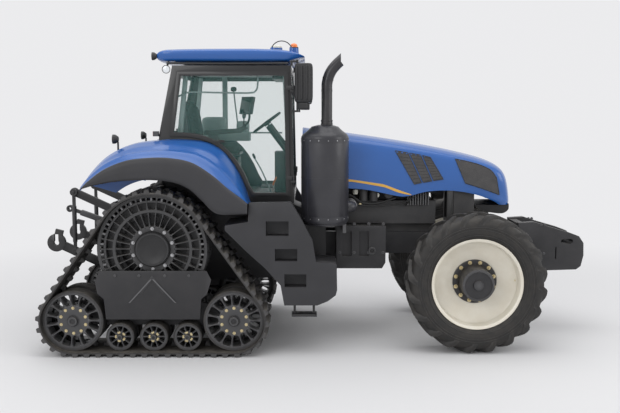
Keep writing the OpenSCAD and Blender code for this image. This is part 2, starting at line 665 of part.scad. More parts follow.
// Steering wheel centre, and the lean of its column
wheel_c = [1190, 2535];
wheel_lean = 36.7;
module dash_column() {
    color(plastic) at_axle() {
        box([1290, -170, floor_z + 0.3], [1465, 170, 2190]);
        translate([wheel_c[0], 0, wheel_c[1]]) rotate([0, -wheel_lean, 0]) {
            translate([0, 0, -450]) cylinder(r = 45, h = 410);
            translate([0, 0, -50]) cylinder(r = 12, h = 60);
        }
        both() for (y = [60, 130]) box([1120, y, floor_z + 60], [1291, y + 50, floor_z + 78]);
    }
}
module steering_wheel() {
    color(black) at_axle() translate([wheel_c[0], 0, wheel_c[1]]) rotate([0, -wheel_lean, 0]) {
        rotate_extrude() translate([190, 0]) circle(r = 15, $fn = 24);
        difference() {
            union() {
                translate([0, 0, -30]) cylinder(r = 45, h = 50);
                for (a = [90, 210, 330]) rotate([0, 0, a]) box([30, -14, -12], [182, 14, 4]);
            }
            translate([0, 0, -51]) cylinder(r = 12 + run_clear, h = 62);
        }
    }
}
module seat() {
    color(black) at_axle() {
        box([380, -220, 2050.3], [860, 220, 2130]);
        translate([370, 0, 2129]) rotate([0, -4, 0]) box([0, -255, 0], [520, 255, 140]);
        translate([330, 0, 2240]) rotate([0, -9, 0]) box([-50, -245, 0], [80, 245, 560]);
        box([300, -90, 2110], [400, 90, 2300]);
    }
}
module armrest_console() {
    color(plastic) at_axle() {
        box([420, -400, 2060], [800, -220.3, 2110]);
        box([520, -400, 2109], [640, -320, 2400]);
        slab([[480, 2390], [900, 2420], [1000, 2480], [960, 2510], [860, 2470], [480, 2450]], -420, -300);
        box([930, -372, 2490], [950, -352, 2660]);
        translate([1010, 0, 2590]) rotate([0, 12, 0]) box([-90, -500, 0], [-60, -250, 230]);
    }
}

// ---- Hood ----
hood_n = 14;
// Height of the hood's top line and of its lower edge, from the cab at 0 to the nose at 1
function hood_top(u) = bez([[0, hood_z], [0, hood_z - 90], [0, hood_z - 150], [0, nose_z]], u)[1];
function hood_low(u) = lookup(u, [[0, 1790], [0.21, 1774], [0.46, 1684], [0.52, 1695], [0.6, 1750],
    [0.7, 1760], [0.8, 1740], [0.9, 1670], [1, 1560]]);
function hood_u(x) = (x - hood_rear) / hood_len;
nose_back = 90; // where the top line starts to turn down into the nose
// Side view of the hood, d inside its surface, and its plan
function hood_side(d, low) = concat(
    [[hood_front - 4 - d, 1560 - low], [hood_front - d, 1650], [hood_front - 12 - d, 1790 - d / 2], [hood_front - 66 - d, nose_z - 40 - d]],
    [for (i = [hood_n : -1 : 0]) let (u = i / hood_n * hood_u(hood_front - nose_back)) [hood_rear + u * hood_len, hood_top(u) - d]],
    [for (u = [0 : 0.1 : 0.98]) [hood_rear + u * hood_len, hood_low(u) - low]]);
module hood_form(d, low) {
    w = hood_y - d;
    intersection() {
        slab(hood_side(d, low), -w, w);
        linear_extrude(3000) polygon([[hood_rear - d, -w], [hood_front - 130, -w], [hood_front - 40, 60 - w],
            [hood_front - d, 150 - w], [hood_front - d, w - 150], [hood_front - 40, w - 60], [hood_front - 130, w], [hood_rear - d, w]]);
    }
}
module hood_shell() {
    color(blue) at_axle() {
        difference() {
            hood_form(0, 0);
            hood_form(hood_t, 60);
            box([hood_rear - 1, hood_t - hood_y, 1600], [hood_rear + 40, hood_y - hood_t, hood_z - hood_t - 8]);
        }
        both() difference() {
            box([hood_hinge[0] - 25, 180, hood_hinge[1] - 25], [hood_hinge[0] + 25, 200, hood_top(hood_u(hood_hinge[0] + 25)) - 4]);
            rod_y(hood_hinge[0], hood_hinge[1], 12 + run_clear, 170, 210);
        }
    }
}
module hood_vents() {
    y = hood_y + seat_gap;
    lean_x = 250; // how far a louvre leans forwards from top to bottom
    color(black) at_axle() {
        both() for (i = [0 : 2]) let (x = hood_front - 1420 + 155 * i, z = hood_top(hood_u(hood_front - 1420 + 155 * i)) - 78)
            slab([[x, z], [x + lean_x - 15 * i, z - 445 + 28 * i], [x + lean_x + 90 - 15 * i, z - 440 + 28 * i], [x + 108, z - 8]], y, y + 8);
        // dark chin under the nose
        slab([[hood_front - 440, 1559.7], [hood_front - 380, 1480], [hood_front - 90, 1447], [hood_front - 8, 1490],
              [hood_front - 4, 1559.7]], -hood_y + 110, hood_y - 110);
    }
}
module headlamps() {
    y = hood_y + seat_gap;
    color(black) at_axle() both() slab([[hood_front - 696, hood_top(0.72) - 80], [hood_front - 577, 1827],
        [hood_front - 384, 1772], [hood_front - 145, 1700], [hood_front - 150, 1900], [hood_front - 214, 1965],
        [hood_front - 460, hood_top(0.81) - 74]], y, y + 8);
}

// ---- Exhaust ----
can = [1826, -780];
can_r = 266;
pipe_r = 61;
module exhaust_canister() {
    color(plastic) at_axle() {
        translate([can[0], can[1], 1400]) cylinder(r = can_r, h = 1030);
        translate([can[0], can[1], 2429]) cylinder(r1 = can_r - 6, r2 = 150, h = 90);
        // duct from the engine, below the hood
        rod_y(can[0] + 310, 1590, 60, can[1] + 60, -290.3);
        rod_x(can[1] + 60, 1590, 59, can[0], can[0] + 330);
        // bracket down to the side casting
        box([can[0] + 205, can[1] + 80, 1290], [can[0] + 245, can[1] + 349.5, 1410]);
    }
}
module exhaust_pipe() {
    color(black) at_axle() translate([can[0] + 20, can[1], 2519.3]) difference() {
        union() {
            cylinder(r = pipe_r, h = 500);
            translate([0, 0, 490]) rotate([0, 25, 0]) translate([0, 0, -25]) cylinder(r = pipe_r + 1, h = 190);
            translate([63, 0, 625]) rotate([0, 48, 0]) translate([0, 0, -25]) cylinder(r = pipe_r, h = 330);
        }
        translate([0, 0, -1]) cylinder(r = pipe_r - 6, h = 505);
        translate([0, 0, 490]) rotate([0, 25, 0]) translate([0, 0, -20]) cylinder(r = pipe_r - 5, h = 180);
        translate([63, 0, 625]) rotate([0, 48, 0]) translate([0, 0, -20]) cylinder(r = pipe_r - 7, h = 350);
        box([205, -100, 600], [500, 100, 1100]);
    }
}

// ---- Lamps and roof fittings ----
pad_z = 3376;
beacon_at = [1530, -560];
hoop_r = 150;
module lamps() {
    color("orange") at_axle() translate([beacon_at[0], beacon_at[1], pad_z + seat_gap]) {
        cylinder(r = 50, h = 12);
        cylinder(r = 40, h = 54);
    }
    color(plastic) at_axle() {
        translate([1330, -560, pad_z + seat_gap]) {
            cylinder(r = 70, h = 22);
            cylinder(r = 50, h = 36);
        }
        // cable hoop over the roof fittings
        translate([1395, -560 - 120, pad_z - 50]) rotate([90, 0, 0]) rotate([0, 0, 30]) rotate_extrude(angle = 120)
            translate([hoop_r - 30, 0]) circle(r = 6, $fn = 24);
        for (x = [1395 - 104, 1395 + 104]) rod_z(x, -680, 9, pad_z + seat_gap, pad_z + 12);
        both() {
            rod_x(roof_y - 70, 3273, 44, cab_rear - 56, cab_rear - seat_gap);
            box([cab_rear - 56, side_y - 38, 2390], [cab_rear + 9.5, side_y + 25, 2450]);
            // stalk lamps against the fenders' inner walls
            rod_z(-430, fender_in - 14 - seat_gap, 14, crown_z - 270, crown_z - 40);
            rod_x(fender_in - 14 - seat_gap, crown_z - 10, 52, -490, -420);
        }
    }
}

// ---- Rear hitch ----
link_dir = [-cos(link_rise), sin(link_rise)];
link_end = [link_x, link_z] + link_len * link_dir;
arm_end = [link_x, rock_z] + lift_arm * link_dir;
rod_end = [link_x, link_z] + lift_arm * link_dir;
rock_r = 45;
top_link_at = [-690, 1300];
top_link_len = 560;
module hitch_frame() {
    color(plastic) at_axle() {
        difference() {
            union() {
                box([-640, -380, 640], [-450.3, 380, rock_z + 90]);
                both() box([-600, 370, link_z - 60], [-460, 405, link_z + 60]);
                both() slab([[-630, 1240], [-630, 1360], [-715, 1345], [-730, 1300], [-715, 1255]], 26, 60);
                // drawbar hanger
                box([-640, -90, 440], [-120, 90, 475]);
                box([-640, -90, 536], [-120, 90, 570]);
                box([-640, -90, 569], [-450.3, 90, 641]);
                box([-148, -90, 474], [-120, 90, 537]);
            }
            rod_y(link_x, rock_z, rock_r + run_clear, -500, 500);
            rod_x(0, 900, 60, -641, -500);
            rod_x(0, 900, pto_r + run_clear, -501, -449);
            rod_z(-200, 0, 20 + run_clear, 430, 650);
            rod_y(top_link_at[0], top_link_at[1], 16 + run_clear, -70, 70);
        }
        both() rod_y(link_x, link_z, link_pin, 400, link_y + link_t + 10);
    }
}
module rockshaft() {
    color(plastic) at_axle() {
        rod_y(link_x, rock_z, rock_r, -link_y - 5, link_y + 5);
        both() {
            bar([link_x, rock_z], arm_end, 90, link_y, link_y + link_t);
            rod_y(link_x, rock_z, 75, link_y, link_y + link_t);
            rod_y(arm_end[0], arm_end[1], 50, link_y, link_y + link_t);
            rod_y(arm_end[0], arm_end[1], rod_pin, link_y, link_y + 2 * link_t + 12);
        }
    }
}
module lift_rods() {
    y0 = link_y + link_t + 3;
    color(steel) at_axle() both() difference() {
        union() {
            for (p = [arm_end, rod_end]) rod_y(p[0], p[1], 42, y0, y0 + 36);
            bar(rod_end + [0, 20], arm_end - [0, 20], 34, y0 + 3, y0 + 33);
            rod_z(rod_end[0], y0 + 18, 26, rod_end[1] + 120, arm_end[1] - 160);
        }
        rod_y(arm_end[0], arm_end[1], rod_pin + run_clear, y0 - 1, y0 + 40);
        rod_y(rod_end[0], rod_end[1], rod_pin + 0.6, y0 - 1, y0 + 40);
    }
}
module lower_links() {
    at = [link_x, link_z];
    color(plastic) at_axle() both() difference() {
        union() {
            rod_y(link_x, link_z, 48, link_y, link_y + link_t);
            bar(at + 20 * link_dir, link_end, 100, link_y, link_y + link_t);
            rod_y(link_end[0], link_end[1], hook_r, link_y - 5, link_y + link_t + 5);
            bar(link_end, link_end + [40, 150], 90, link_y, link_y + link_t);
            rod_y(rod_end[0], rod_end[1], rod_pin, link_y, link_y + 2 * link_t + 12);
        }
        rod_y(link_x, link_z, link_pin + run_clear, link_y - 1, link_y + link_t + 1);
        // hook, open upwards
        rod_y(link_end[0], link_end[1], 32, link_y - 6, link_y + link_t + 6);
        box([link_end[0] - 25, link_y - 6, link_end[1]], [link_end[0] + 25, link_y + link_t + 6, link_end[1] + 99]);
    }
}
top_end = top_link_at + top_link_len * [-cos(20), sin(20)];
module top_link() {
    color(plastic) at_axle() difference() {
        union() {
            rod_y(top_link_at[0], top_link_at[1], 38, -25, 25);
            bar(top_link_at, top_end, 40, -19, 19);
            bar(lerp(top_link_at, top_end, 0.25), lerp(top_link_at, top_end, 0.75), 62, -31, 31);
            rod_y(top_end[0], top_end[1], 42, -25.5, 25.5);
        }
        rod_y(top_end[0], top_end[1], 16, -26, 26);
    }
    // pin through the hitch frame's ears
    color(plastic) at_axle() rod_y(top_link_at[0], top_link_at[1], 16, -62, 62);
}
drawbar_tip = -1200;
module drawbar() {
    color(plastic) at_axle() difference() {
        union() {
            box([drawbar_tip + 50, -45, 484], [-210, 45, 529]);
            rod_z(drawbar_tip + 50, 0, 50, 484, 529);
            rod_z(-205, 0, 45, 484, 529);
            rod_z(-200, 0, 20, 436, 560);
        }
        rod_z(drawbar_tip + 50, 0, drawbar_hole_r, 480, 535);
    }
}
module pto_shaft() {
    color(steel) at_axle() {
        rod_x(0, 900, pto_r, -740, -452);
        rod_x(0, 900, 40, -560, -520);
    }
}

// ---- Mirrors ----
mirror_x = 1572;
mirror_y = side_y + 92;
module mirror_head() {
    color(black) at_axle() translate([mirror_x, mirror_y, 0]) rotate([0, 0, 28]) difference() {
        union() {
            box([-22, -24, 2760], [190, 46, 3190]);
            box([20, -20, 2690], [150, 40, 2761]);
        }
        rod_z(0, 0, 12 + run_clear, 2700, 3200);
    }
}

module right() { mirror([0, 1, 0]) children(); }

transmission_housing();
front_frame();
engine_block();
weight_carrier();
cab_frame();
cab_floor();
cab_roof();
cab_glass();
fenders();
fender_skirts();
step_tanks();
exhaust_canister();
exhaust_pipe();
lamps();
dash_column();
hitch_frame();
hood_shell();
hood_vents();
headlamps();
right() door_frame();  // door_right_frame
right() door_glass();  // door_right_glass
door_frame();  // door_left_frame
door_glass();  // door_left_glass
rear_window();
front_axle_beam();
right() knuckle();  // knuckle_right
knuckle();  // knuckle_left
right() rim();  // rim_right
rim();  // rim_left
right() tyre();  // tyre_right
tyre();  // tyre_left
right() track_frame();  // track_frame_right
track_frame();  // track_frame_left
right() track_belt();  // track_belt_right
track_belt();  // track_belt_left
right() drive_wheel();  // drive_wheel_right
drive_wheel();  // drive_wheel_left
right() idler(-idler_x);  // idler_rear_right
right() idler(idler_x);  // idler_front_right
idler(-idler_x);  // idler_rear_left
idler(idler_x);  // idler_front_left
right() roller(-roller_pitch);  // roller_rear_right
right() roller(0);  // roller_mid_right
right() roller(roller_pitch);  // roller_front_right
roller(-roller_pitch);  // roller_rear_left
roller(0);  // roller_mid_left
roller(roller_pitch);  // roller_front_left
rockshaft();
lift_rods();
lower_links();
top_link();
drawbar();
pto_shaft();
steering_wheel();
seat();
armrest_console();
right() mirror_head();  // mirror_right
mirror_head();  // mirror_left
right() rung();  // rung_right
rung();  // rung_left
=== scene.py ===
import math
import bmesh
import bpy
import numpy as np
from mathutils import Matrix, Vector


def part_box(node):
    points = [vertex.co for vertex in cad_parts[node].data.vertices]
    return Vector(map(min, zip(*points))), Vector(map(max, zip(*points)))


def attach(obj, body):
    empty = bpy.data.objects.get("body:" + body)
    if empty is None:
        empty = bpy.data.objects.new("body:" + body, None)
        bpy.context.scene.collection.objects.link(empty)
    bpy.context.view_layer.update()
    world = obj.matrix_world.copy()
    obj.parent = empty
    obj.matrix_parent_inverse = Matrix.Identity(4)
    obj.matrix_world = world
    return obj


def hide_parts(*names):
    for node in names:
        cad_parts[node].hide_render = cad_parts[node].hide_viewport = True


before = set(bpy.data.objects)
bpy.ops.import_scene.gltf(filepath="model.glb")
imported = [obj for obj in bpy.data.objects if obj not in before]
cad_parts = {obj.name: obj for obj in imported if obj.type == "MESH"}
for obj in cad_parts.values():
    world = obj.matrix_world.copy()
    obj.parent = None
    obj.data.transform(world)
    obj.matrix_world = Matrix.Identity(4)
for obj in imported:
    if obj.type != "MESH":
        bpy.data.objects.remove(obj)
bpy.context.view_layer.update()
print("frame loaded:", len(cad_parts), "nodes")


def middle(node):
    low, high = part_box(node)
    return (low + high) / 2


# Shapes below are drawn for the left side, in metres, with x counted ahead of the drive axle.
axleX = middle("drive_wheel_left").x
axleZ = middle("drive_wheel_left").z
trackY = middle("track_belt_left").y
frontX = middle("tyre_left").x - axleX
frontZ = middle("tyre_left").z
sides = {"left": 1, "right": -1}


# ---- Shapes ----
def surface(points, closedU=False, closedV=False, capped=False):
    # A grid of points joined into four-sided faces; caps close its first and last row.
    nu, nv = points.shape[:2]
    i, j = np.meshgrid(np.arange(nu if closedU else nu - 1), np.arange(nv if closedV else nv - 1),
                       indexing="ij")
    i2, j2 = (i + 1) % nu, (j + 1) % nv
    faces = np.stack([i * nv + j, i2 * nv + j, i2 * nv + j2, i * nv + j2], -1).reshape(-1, 4).tolist()
    if capped:
        faces += [list(range(nv)), list(range((nu - 1) * nv, nu * nv))[::-1]]
    return points.reshape(-1, 3), faces


def joined(parts):
    # Several shapes as one list of points and faces.
    starts = np.cumsum([0] + [len(p) for p, f in parts])
    faces = [[int(i) + int(start) for i in face] for start, (p, f) in zip(starts, parts) for face in f]
    return np.concatenate([p for p, f in parts]), faces


def rimmed(upper, lower):
    # Two skins closed round their common edge.
    nu, nv = upper.shape[:2]
    p1, f1 = surface(upper)
    p2, f2 = surface(lower)
    n = nu * nv
    ring = [i * nv for i in range(nu)] + [(nu - 1) * nv + j for j in range(1, nv)] \
        + [i * nv + nv - 1 for i in range(nu - 2, -1, -1)] + [j for j in range(nv - 2, 0, -1)]
    faces = f1 + [[i + n for i in f[::-1]] for f in f2]
    faces += [[a, b, b + n, a + n] for a, b in zip(ring, ring[1:] + ring[:1])]
    return np.concatenate([p1, p2]), faces


def turned(profile, centre=(0, 0, 0), axis="y", segments=48):
    # A profile of (radius, distance along the axis) carried round the axis.
    profile = np.asarray(profile, float)
    a = np.linspace(0, 2 * np.pi, segments, endpoint=False)[:, None]
    r, d = profile[None, :, 0], profile[None, :, 1]
    across, up, along = r * np.cos(a), r * np.sin(a), d + 0 * a
    order = {"y": (across, along, up), "x": (along, across, up), "z": (across, up, along)}[axis]
    loop = not (profile[0, 0] == 0 and profile[-1, 0] == 0)
    return surface(np.stack(order, -1) + np.array(centre, float), closedU=True, closedV=loop)


def plate(outline, y0, y1):
    # An outline in x and z, carried from y0 to y1.
    outline = np.asarray(outline, float)
    rows = [np.stack([outline[:, 0], np.full(len(outline), y), outline[:, 1]], -1) for y in (y0, y1)]
    return surface(np.stack(rows), closedV=True, capped=True)


def block(low, high):
    return plate([(low[0], low[2]), (high[0], low[2]), (high[0], high[2]), (low[0], high[2])], low[1],
                 high[1])


def smoothPath(points, count=24):
    # A curve through the points: each stretch is a cubic whose slope at a point joins its neighbours.
    p = np.asarray(points, float)
    p = np.concatenate([2 * p[:1] - p[1:2], p, 2 * p[-1:] - p[-2:-1]])
    t = np.linspace(0, len(points) - 1 - 1e-9, count)
    k = t.astype(int)
    u = (t - k)[:, None]
    a, b, c, d = p[k], p[k + 1], p[k + 2], p[k + 3]
    return 0.5 * (2 * b + (c - a) * u + (2 * a - 5 * b + 4 * c - d) * u**2 + (3 * b - a - 3 * c + d) * u**3)


def tube(path, radius, sides=12, hollow=0):
    # A circle carried along a path, square to it; with a hollow, its wall comes back along the inside.
    path = np.asarray(path, float)
    along = np.gradient(path, axis=0)
    along /= np.linalg.norm(along, axis=1, keepdims=True)
    spare = np.eye(3)[np.argmin(np.abs(along).max(axis=0))]
    u = np.cross(along, spare)
    u /= np.linalg.norm(u, axis=1, keepdims=True)
    v = np.cross(along, u)
    a = np.linspace(0, 2 * np.pi, sides, endpoint=False)
    rings = [(path, radius)] if not hollow else [(path, radius), (path[::-1], radius - hollow)]
    rows = []
    for line, r in rings:
        flip = slice(None, None, 1 if line is path else -1)
        r = np.broadcast_to(np.asarray(r, float), (len(path),))[:, None, None]
        ring = u[flip][:, None] * np.cos(a)[None, :, None] + v[flip][:, None] * np.sin(a)[None, :, None]
        rows.append(line[:, None] + r * ring)
    return surface(np.concatenate(rows), closedU=bool(hollow), closedV=True, capped=not hollow)


def spun(part, count, centre, start=0.0):
    # The same shape count times round an axle along Y at centre (x, z).
    points, faces = part
    a = (start + np.arange(count)) * 2 * np.pi / count
    c, s = np.cos(a)[:, None], np.sin(a)[:, None]
    x, y, z = points[:, 0] - centre[0], points[:, 1], points[:, 2] - centre[1]
    turnedPoints = np.stack([centre[0] + c * x - s * z, y + 0 * c, centre[1] + s * x + c * z], -1)
    return joined([(p, faces) for p in turnedPoints])


def copies(part, offsets):
    return joined([(part[0] + np.array(o, float), part[1]) for o in offsets])


def mirrored(part):
    return part[0] * np.array([1, -1, 1]), [face[::-1] for face in part[1]]


def sided(part, sign):
    return part if sign > 0 else mirrored(part)


def both(part):
    return joined([part, mirrored(part)])


def boltHead(centre, axis, size=0.012, height=0.01):
    # A hexagon head on a round washer.
    head = turned([(0, 0), (size, 0), (size, height * 0.8), (size * 0.8, height), (0, height)], axis=axis,
                  segments=6)
    washer = turned([(0, -0.002), (size * 1.35, -0.002), (size * 1.35, 0.002), (0, 0.002)], axis=axis,
                    segments=16)
    return copies(joined([head, washer]), [centre])


def bolts(centres, axis, size=0.012, height=0.01):
    return copies(boltHead((0, 0, 0), axis, size, height), centres)


def sharpEdges(mesh, angle):
    return [e for e in mesh.edges if len(e.link_faces) == 2 and e.calc_face_angle() > math.radians(angle)]


def softened(node, width=0.006, angle=30):
    # A CAD node's mesh, joined up, with its hard edges rounded off.
    mesh = bmesh.new()
    mesh.from_mesh(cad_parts[node].data)
    bmesh.ops.remove_doubles(mesh, verts=mesh.verts, dist=2e-5)
    bmesh.ops.dissolve_limit(mesh, angle_limit=math.radians(0.5), verts=mesh.verts, edges=mesh.edges)
    hard = sharpEdges(mesh, angle)
    bmesh.ops.bevel(mesh, geom=hard, offset=width, segments=2, profile=0.6, affect="EDGES",
                    clamp_overlap=True)
    bmesh.ops.triangulate(mesh, faces=[f for f in mesh.faces if len(f.verts) > 4])
    made = bpy.data.meshes.new(node)
    mesh.to_mesh(made)
    mesh.free()
    return made


def addPiece(name, layers, body, stands=(), bevel=0.0, angle=35, shift=True):
    # layers are (shape, material) pairs, or a finished mesh with one material.
    if isinstance(layers[0], bpy.types.Mesh):
        data, looks = layers[0], [layers[1]]
        data.materials.clear()
    else:
        looks = [look for shape, look in layers]
        points, faces = joined([shape for shape, look in layers])
        data = bpy.data.meshes.new(name)
        data.from_pydata((points + np.array([axleX if shift else 0, 0, 0])).tolist(), [], faces)
        numbers = np.repeat(np.arange(len(layers)), [len(shape[1]) for shape, look in layers])
        data.polygons.foreach_set("material_index", numbers.astype(np.int32))
        mesh = bmesh.new()
        mesh.from_mesh(data)
        bmesh.ops.remove_doubles(mesh, verts=mesh.verts, dist=1e-5)
        bmesh.ops.recalc_face_normals(mesh, faces=mesh.faces)
        if bevel:
            hard = sharpEdges(mesh, 30)
            bmesh.ops.bevel(mesh, geom=hard, offset=bevel, segments=2, profile=0.6, affect="EDGES",
                            clamp_overlap=True)
        mesh.to_mesh(data)
        mesh.free()
    for look in looks:
        data.materials.append(look)
    data.shade_smooth()
    data.set_sharp_from_angle(angle=math.radians(angle))
    piece = bpy.data.objects.new(name, data)
    bpy.context.scene.collection.objects.link(piece)
    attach(piece, body)
    if stands:
        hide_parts(*stands)
    return piece


# ---- Finishes ----
def finish(name, colour, second=None, patches=3.0, rough=0.5, spread=0.12, grain=400.0, depth=0.15,
           metal=0.0, coat=0.0, wearAndHighlight=0.0, upFacingTint=0.0, alpha=1.0):
    # Colour drifts to the second in soft patches, roughness follows, and a fine grain lifts the surface.
    look = bpy.data.materials.new(name)
    look.use_nodes = True
    nodes, links = look.node_tree.nodes, look.node_tree.links
    shader = nodes["Principled BSDF"]
    shader.inputs["Metallic"].default_value = metal
    shader.inputs["Coat Weight"].default_value = coat
    shader.inputs["Coat Roughness"].default_value = 0.06
    shader.inputs["Alpha"].default_value = alpha
    place = nodes.new("ShaderNodeTexCoord")
    cloud = nodes.new("ShaderNodeTexNoise")
    cloud.inputs["Scale"].default_value = patches
    cloud.inputs["Detail"].default_value = 6
    cloud.inputs["Roughness"].default_value = 0.6
    links.new(place.outputs["Object"], cloud.inputs["Vector"])
    tint = nodes.new("ShaderNodeValToRGB")
    tint.color_ramp.elements[0].position, tint.color_ramp.elements[1].position = 0.36, 0.66
    tint.color_ramp.elements[0].color = (*colour, 1)
    tint.color_ramp.elements[1].color = (*(second or colour), 1)
    links.new(cloud.outputs["Fac"], tint.inputs["Fac"])
    colourOut = tint.outputs["Color"]
    if wearAndHighlight:
        # rubbed edges are lighter: partly real wear, partly a painted highlight along the edges
        shape = nodes.new("ShaderNodeNewGeometry")
        edge = nodes.new("ShaderNodeMapRange")
        edge.inputs["From Min"].default_value, edge.inputs["From Max"].default_value = 0.53, 0.66
        edge.inputs["To Max"].default_value = wearAndHighlight
        links.new(shape.outputs["Pointiness"], edge.inputs["Value"])
        edgeWearAndHighlight = nodes.new("ShaderNodeMix")
        edgeWearAndHighlight.data_type = "RGBA"
        edgeWearAndHighlight.inputs[7].default_value = (0.32, 0.32, 0.33, 1)
        links.new(edge.outputs["Result"], edgeWearAndHighlight.inputs["Factor"])
        links.new(colourOut, edgeWearAndHighlight.inputs[6])
        colourOut = edgeWearAndHighlight.outputs[2]
    if upFacingTint:
        # surfaces that face up are mixed towards a pale brown, broken up by the patches
        shape = nodes.new("ShaderNodeNewGeometry")
        split = nodes.new("ShaderNodeSeparateXYZ")
        links.new(shape.outputs["Normal"], split.inputs["Vector"])
        lie = nodes.new("ShaderNodeMapRange")
        lie.inputs["From Min"].default_value, lie.inputs["From Max"].default_value = 0.2, 1.0
        lie.inputs["To Max"].default_value = upFacingTint
        links.new(split.outputs["Z"], lie.inputs["Value"])
        broken = nodes.new("ShaderNodeMath")
        broken.operation = "MULTIPLY"
        links.new(lie.outputs["Result"], broken.inputs[0])
        links.new(cloud.outputs["Fac"], broken.inputs[1])
        upFacingMix = nodes.new("ShaderNodeMix")
        upFacingMix.data_type = "RGBA"
        upFacingMix.inputs[7].default_value = (0.42, 0.38, 0.32, 1)
        links.new(broken.outputs["Value"], upFacingMix.inputs["Factor"])
        links.new(colourOut, upFacingMix.inputs[6])
        colourOut = upFacingMix.outputs[2]
    links.new(colourOut, shader.inputs["Base Color"])
    gloss = nodes.new("ShaderNodeMapRange")
    gloss.inputs["To Min"].default_value = rough - spread / 2
    gloss.inputs["To Max"].default_value = rough + spread / 2
    links.new(cloud.outputs["Fac"], gloss.inputs["Value"])
    links.new(gloss.outputs["Result"], shader.inputs["Roughness"])
    pits = nodes.new("ShaderNodeTexNoise")
    pits.inputs["Scale"].default_value = grain
    pits.inputs["Detail"].default_value = 3
    links.new(place.outputs["Object"], pits.inputs["Vector"])
    bump = nodes.new("ShaderNodeBump")
    bump.inputs["Strength"].default_value = depth
    bump.inputs["Distance"].default_value = 0.002
    links.new(pits.outputs["Fac"], bump.inputs["Height"])
    links.new(bump.outputs["Normal"], shader.inputs["Normal"])
    return look


bluePaint = finish("blue hood paint", (0.010, 0.092, 0.345), (0.012, 0.102, 0.375), patches=1.5, rough=0.34,
                   spread=0.08, grain=900, depth=0.04, coat=0.45, upFacingTint=0.03)
creamPaint = finish("cream wheel paint", (0.80, 0.76, 0.66), (0.74, 0.69, 0.58), patches=5, rough=0.36,
                    spread=0.12, grain=700, depth=0.05, coat=0.25)
castGrey = finish("grey casting paint", (0.017, 0.017, 0.019), (0.026, 0.025, 0.027), patches=7, rough=0.5,
                  spread=0.2, grain=260, depth=0.35, wearAndHighlight=0.35, upFacingTint=0.12)
enginePaint = finish("engine paint", (0.015, 0.015, 0.016), (0.030, 0.028, 0.027), patches=9, rough=0.55,
                     spread=0.2, grain=200, depth=0.4, wearAndHighlight=0.3, upFacingTint=0.1)
trackPaint = finish("black track paint", (0.009, 0.009, 0.010), (0.017, 0.016, 0.016), patches=10, rough=0.42,
                    spread=0.22, grain=240, depth=0.3, wearAndHighlight=0.45, upFacingTint=0.16)
shieldPaint = finish("track shield paint", (0.018, 0.018, 0.020), (0.025, 0.024, 0.026), patches=6,
                     rough=0.46, spread=0.16, grain=300, depth=0.22, wearAndHighlight=0.3, upFacingTint=0.1)
idlerPaint = finish("idler paint", (0.016, 0.016, 0.018), (0.028, 0.027, 0.028), patches=12, rough=0.4,
                    spread=0.2, grain=260, depth=0.25, wearAndHighlight=0.5, upFacingTint=0.1)
beltRubber = finish("belt rubber", (0.010, 0.0095, 0.009), (0.028, 0.024, 0.021), patches=14, rough=0.7,
                    spread=0.2, grain=180, depth=0.5, wearAndHighlight=0.18, upFacingTint=0.25)
tyreRubber = finish("tyre rubber", (0.012, 0.0115, 0.011), (0.028, 0.025, 0.022), patches=12, rough=0.62,
                    spread=0.22, grain=220, depth=0.4, wearAndHighlight=0.12, upFacingTint=0.1)
greyPlastic = finish("moulded grey plastic", (0.023, 0.023, 0.026), (0.030, 0.030, 0.034), patches=2.5,
                     rough=0.5, spread=0.12, grain=500, depth=0.3, wearAndHighlight=0.12, upFacingTint=0.05)
blackPlastic = finish("black plastic", (0.009, 0.009, 0.010), (0.015, 0.015, 0.016), patches=6, rough=0.45,
                      spread=0.15, grain=600, depth=0.25, wearAndHighlight=0.15)
cabPaint = finish("cab paint", (0.008, 0.008, 0.009), (0.013, 0.013, 0.014), patches=3, rough=0.35,
                  spread=0.1, grain=700, depth=0.08, coat=0.2)
liningGrey = finish("cab lining", (0.30, 0.36, 0.35), (0.26, 0.31, 0.30), patches=5, rough=0.75, grain=900,
                    depth=0.3)
exhaustPaint = finish("exhaust paint", (0.024, 0.024, 0.029), (0.032, 0.032, 0.038), patches=4, rough=0.38,
                      spread=0.12, grain=350, depth=0.12, coat=0.1)
pipePaint = finish("pipe finish", (0.028, 0.028, 0.032), (0.048, 0.046, 0.048), patches=6, rough=0.3,
                   spread=0.16, grain=300, depth=0.08, metal=0.35)
linkPaint = finish("hitch paint", (0.014, 0.014, 0.015), (0.025, 0.024, 0.025), patches=9, rough=0.48,
                   spread=0.2, grain=260, depth=0.3, wearAndHighlight=0.5, upFacingTint=0.1)
brightSteel = finish("bright steel", (0.55, 0.55, 0.56), (0.42, 0.42, 0.43), patches=25, rough=0.3,
                     spread=0.2, grain=500, depth=0.1, metal=1.0)
brassPlate = finish("yellow plated steel", (0.70, 0.60, 0.36), (0.60, 0.50, 0.30), patches=30, rough=0.35,
                    spread=0.2, grain=500, depth=0.1, metal=0.8)
lampLens = finish("lamp lens", (0.75, 0.78, 0.80), (0.68, 0.70, 0.72), patches=8, rough=0.08, spread=0.05,
                  grain=60, depth=0.2, coat=0.8)
darkLens = finish("dark lamp glass", (0.014, 0.013, 0.014), (0.035, 0.032, 0.032), patches=9, rough=0.12,
                  spread=0.1, grain=40, depth=0.15, coat=0.9)
amberLens = finish("amber lens", (0.85, 0.22, 0.02), (0.75, 0.16, 0.015), patches=12, rough=0.15, spread=0.06,
                   grain=90, depth=0.2, coat=0.8)
redLens = finish("red lens", (0.55, 0.01, 0.015), (0.42, 0.008, 0.01), patches=12, rough=0.15, grain=90,
                 coat=0.8)
whitePlastic = finish("white plastic", (0.72, 0.72, 0.66), (0.66, 0.65, 0.55), patches=6, rough=0.4)
goldStripe = finish("gold stripe", (0.72, 0.40, 0.05), (0.66, 0.36, 0.045), patches=4, rough=0.35,
                    spread=0.06, grain=900, depth=0.03, coat=0.5)
